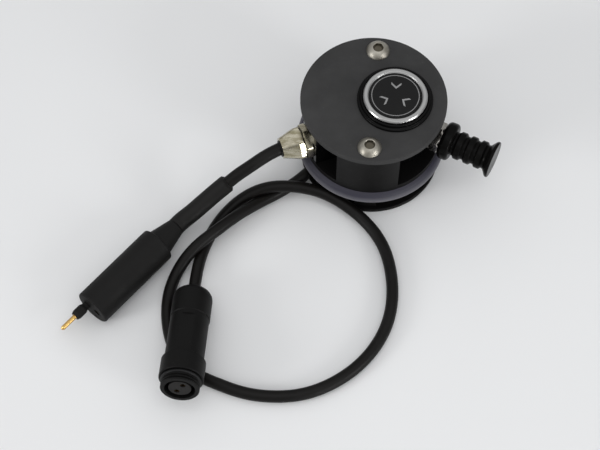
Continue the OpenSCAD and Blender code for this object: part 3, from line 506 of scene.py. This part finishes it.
def soft_rubber(
    name, colour, rough, grain=1800, depth=0.00003, bloom=0.008, specular=0.25, edge=None,
):
    """Rubber: soft grain, uneven sheen and a pale bloom in patches.

    edge, if given, is a colour and two heights in millimetres between which the rubber fades to it, paler
    towards the bottom: painted light.
    """
    f = Finish(name, colour, rough, specular=specular)
    slow = f.noise(75, 5, 0.6)
    patch = f.spread(f.noise(38, 6, 0.65), 0.5, 0.75)
    skin = f.mixed(f.math("MULTIPLY", patch, 0.55), colour, tuple(c + bloom for c in colour))
    if edge is not None:
        pale, above, below = edge
        # Paler towards the bottom between those heights: painted light.
        painted_light_fade = f.spread(f.split()["Z"], above * MM, below * MM)
        skin = f.mixed(f.math("MULTIPLY", painted_light_fade, f.spread(slow, 0.3, 0.7, 0.75, 1)), skin, pale)
    f.colour(skin)
    f.rough(f.spread(slow, 0.3, 0.7, max(0.05, rough - 0.08), min(1, rough + 0.08)))
    f.bump(f.noise(grain, 4, 0.65), 0.4, depth)
    f.bump(slow, 0.1, 0.0001)
    return f


def lead_jacket(name, colour=(0.0036, 0.0031, 0.0027), rough=0.46):
    """Extruded lead jacket: fine lines along it, a slight orange peel, and rubbed stretches."""
    f = Finish(name, colour, rough, specular=0.17)
    uv = f.nodes.new("ShaderNodeUVMap")
    uv.uv_map = "along"
    lines = f.noise(1, 3, 0.6, f.stretched((42, 55, 1), space=uv.outputs["UV"]))
    rub = f.spread(f.noise(45, 5, 0.65), 0.48, 0.72)
    f.colour(f.mixed(f.math("MULTIPLY", rub, 0.6), colour, tuple(c + 0.007 for c in colour)))
    f.rough(f.spread(rub, 0, 1, rough - 0.04, rough + 0.1))
    f.bump(lines, 0.18, 0.00005)
    f.bump(f.noise(1300, 3, 0.55), 0.2, 0.00003)
    return f


def axis_distance(f, x, y):
    """Distance from the upright axis through x, y in metres, as an output."""
    across = f.split(f.stretched((1, 1, 1), at=(-x, -y, 0)))
    squares = [f.math("MULTIPLY", across[i], across[i]) for i in (0, 1)]
    return f.math("SQRT", f.math("ADD", *squares))


def turned_metal(name, colour, rough, centre, lines=5200, tarnish=0.2, depth=0.000012):
    """Turned metal: rings about an upright axis through centre, with a patchy tarnish."""
    f = Finish(name, colour, rough, 1.0)
    join = f.nodes.new("ShaderNodeCombineXYZ")
    f.links.new(axis_distance(f, *centre), join.inputs[0])
    f.links.new(f.split()["Z"], join.inputs[2])
    patch = f.spread(f.noise(160, 5, 0.65), 0.4, 0.75)
    f.colour(f.mixed(f.math("MULTIPLY", patch, tarnish), colour, tuple(0.62 * c for c in colour)))
    f.rough(f.spread(f.noise(260, 4, 0.6), 0.3, 0.7, rough * 0.8, rough * 1.3))
    f.bump(f.noise(lines, 2, 0.6, join.outputs[0]), 0.5, depth)
    return f


def screw_steel(name):
    """Stainless button heads: satin steel, with painted shade in the sockets, darker on their walls than
    on their floors.
    """
    colour = (0.42, 0.4, 0.35)
    f = Finish(name, colour, 0.4, 1.0)
    near = f.math("MINIMUM", *(axis_distance(f, 0, y * MM) for y in (-SCREW_Y, SCREW_Y)))
    low = f.spread(f.split()["Z"], (HEAD_TOP - 0.7) * MM, (HEAD_TOP - 0.9) * MM)
    # Painted shade: the sockets are darkened, their walls more than their floors.
    socket_shade = f.math("MULTIPLY", f.spread(near, 2.55 * MM, 2.35 * MM), low)
    wall = f.math("MULTIPLY", f.spread(near, 1.5 * MM, 1.9 * MM), socket_shade)
    patch = f.spread(f.noise(230, 6, 0.65), 0.42, 0.72)
    steel = f.mixed(f.math("MULTIPLY", patch, 0.6), colour, (0.2, 0.18, 0.14))
    socket_shaded = f.mixed(f.math("MULTIPLY", socket_shade, 0.8), steel, (0.14, 0.12, 0.085))
    f.colour(f.mixed(f.math("MULTIPLY", wall, 0.6), socket_shaded, (0.05, 0.044, 0.03)))
    satin = f.spread(f.noise(330, 5, 0.6), 0.3, 0.7, 0.4, 0.5)
    f.rough(f.math("MAXIMUM", satin, f.math("MULTIPLY", socket_shade, 0.7)))
    f.bump(f.noise(1500, 3, 0.6), 0.25, 0.00001)
    return f


def plated_metal(name, colour, rough, tarnish=0.35, stain=(0.25, 0.2, 0.13), scratch=0.2, turn=0.0):
    """Plated metal: drawn streaks along the piece, and a tarnish in patches."""
    f = Finish(name, colour, rough, 1.0)
    patch = f.spread(f.noise(170, 6, 0.65), 0.42, 0.72)
    streak = f.noise(900, 4, 0.6, f.stretched((0.12, 1, 1), (0, 0, -turn)))
    f.colour(f.mixed(f.math("MULTIPLY", patch, tarnish), colour, stain))
    f.rough(f.spread(streak, 0.3, 0.72, rough * 0.75, rough * 1.5))
    f.bump(streak, scratch, 0.00002)
    return f


def gland_plating(name):
    """Nickel plate on the gland: drawn streaks along it, patches of tarnish, and painted shade in a dark
    band where the nut meets the flange.
    """
    colour = (0.62, 0.58, 0.46)
    f = Finish(name, colour, 0.16, 1.0)
    streak = f.noise(700, 4, 0.6, f.stretched((0.12, 1, 1), (0, 0, -GLAND_A)))
    patch = f.spread(f.noise(190, 6, 0.65), 0.42, 0.68)
    plate = f.mixed(f.spread(streak, 0.42, 0.62), colour, (0.36, 0.33, 0.22))
    plate = f.mixed(f.math("MULTIPLY", patch, 0.5), plate, (0.24, 0.2, 0.12))
    outwards = f.split(f.stretched((1, 1, 1), (0, 0, -GLAND_A)))["X"]
    from_joint = f.math("ABSOLUTE", f.math("SUBTRACT", outwards, GLAND_FLANGE_S * MM))
    # A dark band painted where the nut meets the flange: painted shade.
    joint_shade = f.spread(from_joint, 0.5 * MM, 0.2 * MM)
    f.colour(f.mixed(f.math("MULTIPLY", joint_shade, 0.8), plate, (0.02, 0.018, 0.012)))
    f.rough(f.spread(streak, 0.3, 0.72, 0.13, 0.24))
    f.bump(streak, 0.12, 0.00002)
    return f


PLATE = moulded("plate_grain", (0.0475, 0.0473, 0.0475), 0.62, 3200, 0.00002, specular=0.06)
BLACK = moulded("housing_black", (0.0034, 0.0032, 0.0032), 0.5, 2200, 0.00002, specular=0.11)
GLOSS = polished_black("gloss_black", (0.0016, 0.0016, 0.0018), 0.07, 0.25)
BEZEL = moulded("bezel_black", (0.0016, 0.0016, 0.0016), 0.34, 1500, 0.00001, 0.1, 0.11)
DISC = polished_black("disc_black", (0.003, 0.003, 0.003), 0.22, 0.22)
RUBBER = soft_rubber("seal_rubber", (0.006, 0.006, 0.0065), 0.5)
CAP = soft_rubber("cap_rubber", (0.0038, 0.0036, 0.0034), 0.24, 1500, 0.00001, 0.003, 0.05)
# The washer fades to a paler grey towards its lower outer edge: painted light.
WASHER = soft_rubber(
    "washer_rubber", (0.031, 0.03, 0.044), 0.5, 1600, 0.00003, 0.01, 0.3,
    edge=((0.16, 0.157, 0.173), WASHER_Z + 3.4, WASHER_Z + 1.0),
)
PLUG_SKIN = soft_rubber("plug_rubber", (0.0085, 0.0082, 0.008), 0.6, 2000, 0.00004, 0.003, 0.15)
SHRINK = soft_rubber("shrink_sleeve", (0.0082, 0.0078, 0.0074), 0.55, 1500, 0.00004, 0.002, 0.18)
JACKET = lead_jacket("lead_jacket")
CONNECTOR_SKIN = moulded("connector_plastic", (0.0042, 0.0041, 0.004), 0.5, 2600, 0.00002, 0.12, 0.13)
INSERT = moulded("insert_plastic", (0.012, 0.0112, 0.0108), 0.6, 2600, 0.00002, specular=0.2)
SCREWS = screw_steel("screw_steel")
STEEL = turned_metal("inner_steel", (0.56, 0.53, 0.47), 0.26, (CORE_X * MM, 0), 2600)
RING = turned_metal(
    "bright_ring", (0.44, 0.44, 0.435), 0.3, (CORE_X * MM, 0), 5200, tarnish=0.1, depth=0.000004,
)
CHROME = plated_metal(
    "nipple_steel", (0.42, 0.4, 0.37), 0.16, 0.6, (0.1, 0.09, 0.08), 0.1, NIPPLE_A,
)
NICKEL = gland_plating("gland_nickel")
GOLD = plated_metal(
    "contact_gold", (0.66, 0.43, 0.15), 0.22, 0.4, (0.28, 0.16, 0.05), 0.1, PLUG_A,
)
# A much darker copy of the contact gold, for the contacts deep in the plug and connector: painted shade.
SHADED_GOLD = plated_metal(
    "shaded_contact_gold", (0.1, 0.062, 0.025), 0.4, 0.4, (0.03, 0.02, 0.01), 0.1, CONNECTOR_A,
)
BRASS = turned_metal("turned_brass", (0.55, 0.38, 0.14), 0.3, (CORE_X * MM, 0), 4200)
RESIN = polished_black("potting_resin", (0.012, 0.012, 0.014), 0.2)
WIRE = moulded("wire_red", (0.3, 0.02, 0.015), 0.4, 900, 0.00003)
PRINT = moulded("silver_print", (0.26, 0.26, 0.26), 0.5, 2600, 0.000005, 0.1)

NODE_FINISH = {
    PLATE: ["top_plate"],
    BLACK: ["housing", "clamp_nut", "inner_cover"],
    GLOSS: ["valve_core", "swivel_ring", "feed_block"],
    BEZEL: ["button_cap"],
    RUBBER: ["core_seal", "swivel_seals", "stem_seal", "nipple_seal", "poppet_seal", "block_seal",
             "gland_seal", "connector_seal", "connector_bush"],
    PLUG_SKIN: ["plug_body"],
    CONNECTOR_SKIN: ["connector_nut", "connector_shell"],
    INSERT: ["connector_insert"],
    STEEL: ["cover_screws", "button_spring", "valve_stem", "poppet_nut"],
    GOLD: ["plug_pin"],
    SHADED_GOLD: ["plug_socket", "connector_contacts"],
    BRASS: ["core_nut", "poppet"],
    RESIN: ["potting"],
    WIRE: ["feed_wires", "plug_wires", "connector_wires"],
}
for finish, names in NODE_FINISH.items():
    for name in names:
        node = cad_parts[name]
        node.data.materials.clear()
        node.data.materials.append(finish.mat)


# ---- Camera, light and floor ----

CAMERA_AT = (2.82, -363.56, 612.36)
CAMERA_DIRECTION = (-0.0449, 0.4658, -0.8838)
LENS = 92.6
SENSOR = 36.0
MIDDLE = (-0.03, -0.04, 0.02)
# The room's light at the horizon, and at ROOM_HIGH of the way up from it
ROOM_LOW_LIGHT, ROOM_HIGH_LIGHT, ROOM_HIGH = 0.25, 0.85, 0.9
FLOOR_HALF = 6.0


def look(camera_at, direction):
    """The camera, in millimetres, looking along a direction."""
    data = bpy.data.cameras.new("camera")
    data.lens = LENS
    data.sensor_width = SENSOR
    data.clip_start, data.clip_end = 0.01, 20
    cam = bpy.data.objects.new("camera", data)
    cam.location = Vector(camera_at) * MM
    cam.rotation_mode = "QUATERNION"
    cam.rotation_quaternion = Vector(direction).to_track_quat("-Z", "Y")
    bpy.context.scene.collection.objects.link(cam)
    bpy.context.scene.camera = cam


def lamp(name, at, aim, width, height, power, spread=180):
    """A soft box that faces the point it aims at. spread is the width of its beam in degrees."""
    data = bpy.data.lights.new(name, "AREA")
    data.shape = "RECTANGLE"
    data.size, data.size_y, data.energy = width, height, power
    data.spread = math.radians(spread)
    obj = bpy.data.objects.new(name, data)
    obj.location = at
    obj.rotation_mode = "QUATERNION"
    obj.rotation_quaternion = (Vector(aim) - Vector(at)).to_track_quat("-Z", "Y")
    bpy.context.scene.collection.objects.link(obj)


bpy.context.scene.view_settings.view_transform = "Standard"
look(CAMERA_AT, CAMERA_DIRECTION)
lamp("left_box", (-0.8, -0.5, 0.36), MIDDLE, 0.28, 0.28, 0.29, 60)
lamp("right_box", (0.78, -0.5, 0.36), MIDDLE, 0.28, 0.28, 0.29, 60)
lamp("low_card", (0.56, -0.83, 0.07), MIDDLE, 0.16, 0.08, 0.14, 60)
lamp("top_box", (0.0, -0.3, 1.25), MIDDLE, 0.8, 0.8, 1.5)

# The room is dimmer near the ground than overhead
world = bpy.data.worlds.new("studio")
bpy.context.scene.world = world
world.use_nodes = True
room = world.node_tree
where = room.nodes.new("ShaderNodeTexCoord")
height = room.nodes.new("ShaderNodeSeparateXYZ")
ramp = room.nodes.new("ShaderNodeMapRange")
for socket, value in zip(ramp.inputs[1:5], (0.0, ROOM_HIGH, ROOM_LOW_LIGHT, ROOM_HIGH_LIGHT)):
    socket.default_value = value
room.links.new(where.outputs["Generated"], height.inputs[0])
room.links.new(height.outputs["Z"], ramp.inputs[0])
room.links.new(ramp.outputs[0], room.nodes["Background"].inputs["Strength"])
room.nodes["Background"].inputs["Color"].default_value = (0.985, 0.99, 1.0, 1)

floor_mesh = bpy.data.meshes.new("floor")
floor_mesh.from_pydata(
    [(-FLOOR_HALF, -FLOOR_HALF, 0), (FLOOR_HALF, -FLOOR_HALF, 0),
     (FLOOR_HALF, FLOOR_HALF, 0), (-FLOOR_HALF, FLOOR_HALF, 0)],
    [], [[0, 1, 2, 3]],
)
floor = bpy.data.objects.new("floor", floor_mesh)
bpy.context.scene.collection.objects.link(floor)
paper = Finish("floor_paper", (0.82, 0.82, 0.82), 0.9, specular=0.1)
paper.colour(paper.mixed(paper.noise(4, 3), (0.8, 0.805, 0.81), (0.84, 0.845, 0.85)))
floor_mesh.materials.append(paper.mat)


# ---- Leads ----

heating_points = [
    GLAND.point(22.3), GLAND.point(GLAND_MOUTH_S), *HEATING_ROUTE,
    PLUG.point(-PLUG_NECK_L - 4), PLUG.point(-PLUG_NECK_L),
]
heating_path = spline(heating_points, 0.8)
heating_lead = swept(
    "heating_lead_jacket", heating_path, LEAD_D / 2, 40, "valve", JACKET.mat,
)
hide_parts("heating_lead")

inner_points = [
    LEG.point(2), LEG.point(LEG_R + 2), *INNER_ROUTE, CONNECTOR.point(-8), CONNECTOR.point(8),
]
inner_path = spline(inner_points, 0.9)
# The spline swings a little low between its points on the floor
inner_path[:, 2] = np.maximum(inner_path[:, 2], INNER_D / 2)
inner_lead = swept("inner_lead_jacket", inner_path, INNER_D / 2, 40, "valve", JACKET.mat)
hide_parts("inner_lead")

# The shrink sleeve follows the last stretch of the heating lead and starts with a rounded lip
sleeve_at = np.array(HEATING_ROUTE[SLEEVE_FROM])
start = int(np.argmin(np.linalg.norm(heating_path - sleeve_at, axis=1)))
sleeve_path = heating_path[start:]
run = along(sleeve_path)
SLEEVE_LIP_L, SLEEVE_LIP_T = 1.2, 0.35
edge = np.clip(run / SLEEVE_LIP_L, 0, 1)
lip_r = LEAD_D / 2 + SLEEVE_LIP_T
sleeve_r = lip_r + (SLEEVE_D / 2 - lip_r) * np.sqrt(1 - (1 - edge) ** 2)
sleeve = swept("shrink_sleeve", sleeve_path, sleeve_r, 48, "valve", SHRINK.mat)
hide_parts("lead_sleeve")


# ---- Suit washer ----

washer_in = NECK_R + 0.3
washer_out = BODY_R + WASHER_LIP
suit_washer = turned(
    "suit_washer_rubber",
    [
        (washer_in, WASHER_Z + 0.3, 0.3), (washer_in, WASHER_Z, 0.25), (washer_out - 0.6, WASHER_Z, 0.6),
        (washer_out, WASHER_Z + 1.0, 0.7), (washer_out - 0.1, WASHER_Z + 2.0, 1.5),
        (BODY_R + 1.3, WASHER_Z + 4.2, 1.8), (BODY_R, WASHER_Z + WASHER_T, 0.3),
        (washer_in, WASHER_Z + WASHER_T, 0.3),
    ],
    UPRIGHT, "valve", WASHER.mat, sides=160, steps=8,
)
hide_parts("suit_washer")


# ---- Plate screws ----


def socket_shape(r, s, angle):
    """The socket's wall is a hexagon: its flats' distance over the cosine of the angle from a flat."""
    wall = (np.abs(r - SOCKET_FLAT) < 0.02) & (s > HEAD_TOP - SOCKET_DEPTH - 0.1)
    return np.where(wall, r / np.cos(from_flat(angle)), r)


SOCKET_RIM_R = 2.62
dome_mid = HEAD_TOP - DOME_R
tilt = np.linspace(math.asin(HEAD_R / DOME_R), math.asin(SOCKET_RIM_R / DOME_R), 12)
dome = [(DOME_R * math.sin(a), dome_mid + DOME_R * math.cos(a), 0) for a in tilt]
screws = turned(
    "plate_screw_pair",
    [
        (0, PLATE_TOP - SCREW_L, 0), (SCREW_R - 0.4, PLATE_TOP - SCREW_L, 0),
        (SCREW_R, PLATE_TOP - SCREW_L + 0.5, 0.1), (SCREW_R, PLATE_TOP, 0), (HEAD_R, PLATE_TOP, 0.1),
        *dome, (SOCKET_FLAT + 0.4, HEAD_TOP - 0.58, 0.06), (SOCKET_FLAT + 0.3, HEAD_TOP - 0.68, 0),
        (SOCKET_FLAT, HEAD_TOP - 1, 0), (SOCKET_FLAT, HEAD_TOP - SOCKET_DEPTH, 0),
        (0, HEAD_TOP - SOCKET_DEPTH - 0.3, 0),
    ],
    [Place((0, y, 0), 0, 90) for y in (-SCREW_Y, SCREW_Y)],
    "valve", SCREWS.mat, sides=96, shape=socket_shape,
)
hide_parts("plate_screws")


# ---- Button and bezel ----

bezel = turned(
    "bezel_ring",
    [
        (BEZEL_IN_R - 2, PLATE_UNDER, 0), (BEZEL_THREAD_R, PLATE_UNDER, 0.2),
        (BEZEL_THREAD_R, PLATE_TOP, 0), (BEZEL_OUT_R, PLATE_TOP, 0.1),
        (BEZEL_OUT_R, PLATE_TOP + 1.2, 0.5),
        (BEZEL_THREAD_R + 0.3, PLATE_TOP + 1.6, 0.3), (BEZEL_THREAD_R, BEZEL_TOP, 0.4),
        (BEZEL_IN_R, BEZEL_TOP, 0.3), (BEZEL_IN_R, BEZEL_STOP, 0), (BEZEL_IN_R - 2, BEZEL_STOP, 0),
    ],
    CORE, "valve", BEZEL.mat, sides=160,
)
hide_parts("bezel")

ring = turned(
    "button_bright_ring",
    [
        (RING_IN_R, RING_FOOT, 0), (BUTTON_R, RING_FOOT, 0.1), (BUTTON_R, RING_TOP - 0.65, 0.2),
        (BUTTON_R - 0.55, RING_TOP, 0.35), (RING_IN_R + 0.55, RING_TOP, 0.3),
        (RING_IN_R, RING_TOP - 0.5, 0.2),
    ],
    CORE, "button", RING.mat, sides=160,
)
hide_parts("button_ring")

disc = turned(
    "button_disc_plate",
    [(0, DISC_FOOT, 0), (DISC_R, DISC_FOOT, 0.1), (DISC_R, DISC_Z, 0.2), (0, DISC_Z, 0)],
    CORE, "button", DISC.mat, sides=160,
)
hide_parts("button_disc")

PRINT_H = 0.03
LINE_IN_R, LINE_OUT_R = 10.1, 10.4
ARROW_TIP_R, ARROW_TAIL_R, ARROW_BAND, ARROW_HALF_W = 3.4, 5.6, 1.1, 2.2
turned(
    "button_disc_line",
    [
        (LINE_IN_R, DISC_Z, 0), (LINE_OUT_R, DISC_Z, 0), (LINE_OUT_R, DISC_Z + PRINT_H, 0),
        (LINE_IN_R, DISC_Z + PRINT_H, 0),
    ],
    CORE, "button", PRINT.mat, sides=160,
)


def chevrons(name, count, body, finish):
    """Arrow heads that point at the button's middle, evenly spaced about it.

    Each is a flat band with a bend: six corners in radial and sideways distance, drawn up to its height.
    """
    tip, tail, band, half = ARROW_TIP_R, ARROW_TAIL_R, ARROW_BAND, ARROW_HALF_W
    flat = np.array([
        (tip, 0), (tail, half), (tail + band, half),
        (tip + band, 0), (tail + band, -half), (tail, -half),
    ])
    turn = np.arange(count) * 2 * math.pi / count + math.pi / 2
    out = np.stack([np.cos(turn), np.sin(turn)], -1)
    side = np.stack([-np.sin(turn), np.cos(turn)], -1)
    xy = flat[None, :, :1] * out[:, None, :] + flat[None, :, 1:] * side[:, None, :] + [CORE_X, 0]
    z = np.broadcast_to(np.array([DISC_Z, DISC_Z + PRINT_H])[None, :, None, None], (count, 2, 6, 1))
    points = np.concatenate([np.repeat(xy[:, None], 2, 1), z], -1)
    one = [[0, 1, 2, 3], [0, 3, 4, 5]]
    top = [[i + 6 for i in f] for f in one]
    low = [f[::-1] for f in one]
    order = [0, 5, 4, 3, 2, 1]
    walls = [[b, a, a + 6, b + 6] for a, b in zip(order, order[1:] + order[:1])]
    faces = [[i + 12 * k for i in f] for k in range(count) for f in top + low + walls]
    obj = piece(name, points, faces, body, finish, smooth=False)
    face_outwards(obj)
    return obj


chevrons("button_disc_arrows", 3, "button", PRINT.mat)


# ---- Return spring ----

# A helix: the angle about the core's axis and the height both rise evenly with t
t = np.linspace(0, 1, SPRING_TURNS * 40 + 1)
spring_turn = 2 * math.pi * SPRING_TURNS * t
spring_low, spring_high = SPRING_FOOT + SPRING_WIRE / 2, SPRING_TOP - SPRING_WIRE / 2
spring_path = np.stack([
    CORE_X + SPRING_D / 2 * np.cos(spring_turn), SPRING_D / 2 * np.sin(spring_turn),
    spring_low + (spring_high - spring_low) * t,
], -1)
spring = swept("return_spring_wire", spring_path, SPRING_WIRE / 2, 14, "valve", STEEL.mat)
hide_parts("button_spring")
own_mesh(spring)


# ---- Nipple and dust cap ----


def collar_shape(r, s, angle):
    """Six flats on the collar: the turned radius, but no more than the flats allow."""
    return np.where(r > NIPPLE_R + 0.2, least(r, COLLAR_HEX / np.cos(from_flat(angle)), 0.05), r)


nipple = turned(
    "hose_nipple_steel",
    [
        (NIPPLE_BORE_R, NIPPLE_START_S, 0), (NIPPLE_THREAD_R, NIPPLE_START_S, 0.2),
        (NIPPLE_THREAD_R, COLLAR_S, 0), (COLLAR_R - 0.65, COLLAR_S, 0), (COLLAR_R, COLLAR_S + 0.7, 0.2),
        (COLLAR_R, COLLAR_END_S - 0.7, 0.2), (COLLAR_R - 0.65, COLLAR_END_S, 0.1),
        (NIPPLE_WAIST_R, COLLAR_END_S, 0), (NIPPLE_WAIST_R, COLLAR_END_S + 2, 0.3),
        (NIPPLE_R, COLLAR_END_S + 2.66, 0.2), (NIPPLE_R, COLLAR_END_S + 6, 0.2),
        (NIPPLE_GROOVE_R, COLLAR_END_S + 6.8, 0.3), (NIPPLE_GROOVE_R, COLLAR_END_S + 9.4, 0.3),
        (NIPPLE_R, COLLAR_END_S + 10.2, 0.2), (NIPPLE_R, NIPPLE_END_S - 2.4, 0.5),
        (NIPPLE_R - 1.4, NIPPLE_END_S, 0.3), (NIPPLE_BORE_R, NIPPLE_END_S, 0.2),
    ],
    NIPPLE, "swivel", CHROME.mat, sides=120, shape=collar_shape,
)
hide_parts("nipple")

rib_corners = []
for i in range(CAP_RIBS):
    rib_s = CAP_RIB_S + CAP_RIB_PITCH * i
    rib_corners += [
        (CAP_NECK_R, rib_s - 1.95, 0.4), (CAP_RIB_R, rib_s - 1.1, 0.35),
        (CAP_RIB_R, rib_s + 1.1, 0.35), (CAP_NECK_R, rib_s + 1.95, 0.4),
    ]
cap = turned(
    "dust_cap_rubber",
    [
        (0, CAP_S + CAP_BORE_L, 0), (CAP_BORE_R, CAP_S + CAP_BORE_L, 0), (CAP_BORE_R, CAP_S, 0.3),
        (CAP_RIM_R, CAP_S, 2.5), (CAP_RIM_R, CAP_S + CAP_RIM_T, 2.5),
        (CAP_NECK_R, CAP_S + CAP_RIM_T + 0.2, 0.5), *rib_corners,
        (CAP_NECK_R + 0.3, CAP_END_S - 3.24, 0.6), (CAP_FLARE_R - 0.32, CAP_END_S - 1.44, 0.6),
        (CAP_FLARE_R, CAP_END_S - 0.94, 0.3),
        (CAP_FLARE_R, CAP_END_S, 0.45), (0, CAP_END_S, 0),
    ],
    NIPPLE, "cap", CAP.mat, sides=120, steps=10,
)
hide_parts("dust_cap")


# ---- Cable gland ----


def flange_shape(r, s, angle):
    """Six flats on the flange."""
    flange = (r > GLAND_THREAD_R + 0.5) & (s < GLAND_NUT_S)
    return np.where(flange, least(r, GLAND_HEX / np.cos(from_flat(angle)), 0.05), r)


def nut_shape(r, s, angle):
    """Six flats, upright at the nut's foot, that lean in evenly from its shoulder to its mouth."""
    share = np.clip((s - GLAND_SHOULDER_S) / (GLAND_MOUTH_S - GLAND_SHOULDER_S), 0, 1)
    flat = GLAND_HEX - GLAND_LEAN * share
    outside = r > GLAND_NUT_IN_R + 0.01
    return np.where(outside, least(r, flat / np.cos(from_flat(angle, turn=30)), 0.05), r)


gland_body = turned(
    "gland_flange",
    [
        (GLAND_IN_R, GLAND_START_S, 0), (GLAND_THREAD_R, GLAND_START_S, 0.3),
        (GLAND_THREAD_R, GLAND_SEAT_S, 0), (GLAND_HEX + 0.25, GLAND_SEAT_S, 0),
        (GLAND_HEX + 0.75, GLAND_SEAT_S + 0.5, 0.2), (GLAND_HEX + 0.75, GLAND_FLANGE_S - 0.5, 0.2),
        (GLAND_HEX + 0.25, GLAND_FLANGE_S, 0), (GLAND_STUB_R, GLAND_FLANGE_S, 0),
        (GLAND_STUB_R, GLAND_STUB_S, 0.2), (GLAND_IN_R, GLAND_STUB_S, 0.1),
    ],
    GLAND, "valve", NICKEL.mat, sides=120, shape=flange_shape,
)
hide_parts("gland_body")

gland_nut = turned(
    "gland_cone_nut",
    [
        (GLAND_NUT_IN_R, GLAND_NUT_S, 0), (GLAND_NUT_R - 0.55, GLAND_NUT_S, 0),
        (GLAND_NUT_R, GLAND_NUT_S + 0.6, 0.2), (GLAND_NUT_R, GLAND_SHOULDER_S, 0.3),
        (GLAND_MOUTH_R, GLAND_MOUTH_S, 0.25), (GLAND_MOUTH_IN_R, GLAND_MOUTH_S, 0.15),
        (GLAND_MOUTH_IN_R, GLAND_STEP_S, 0), (GLAND_NUT_IN_R, GLAND_STEP_S, 0),
    ],
    GLAND, "valve", NICKEL.mat, sides=144, steps=6, shape=nut_shape,
)
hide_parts("gland_nut")
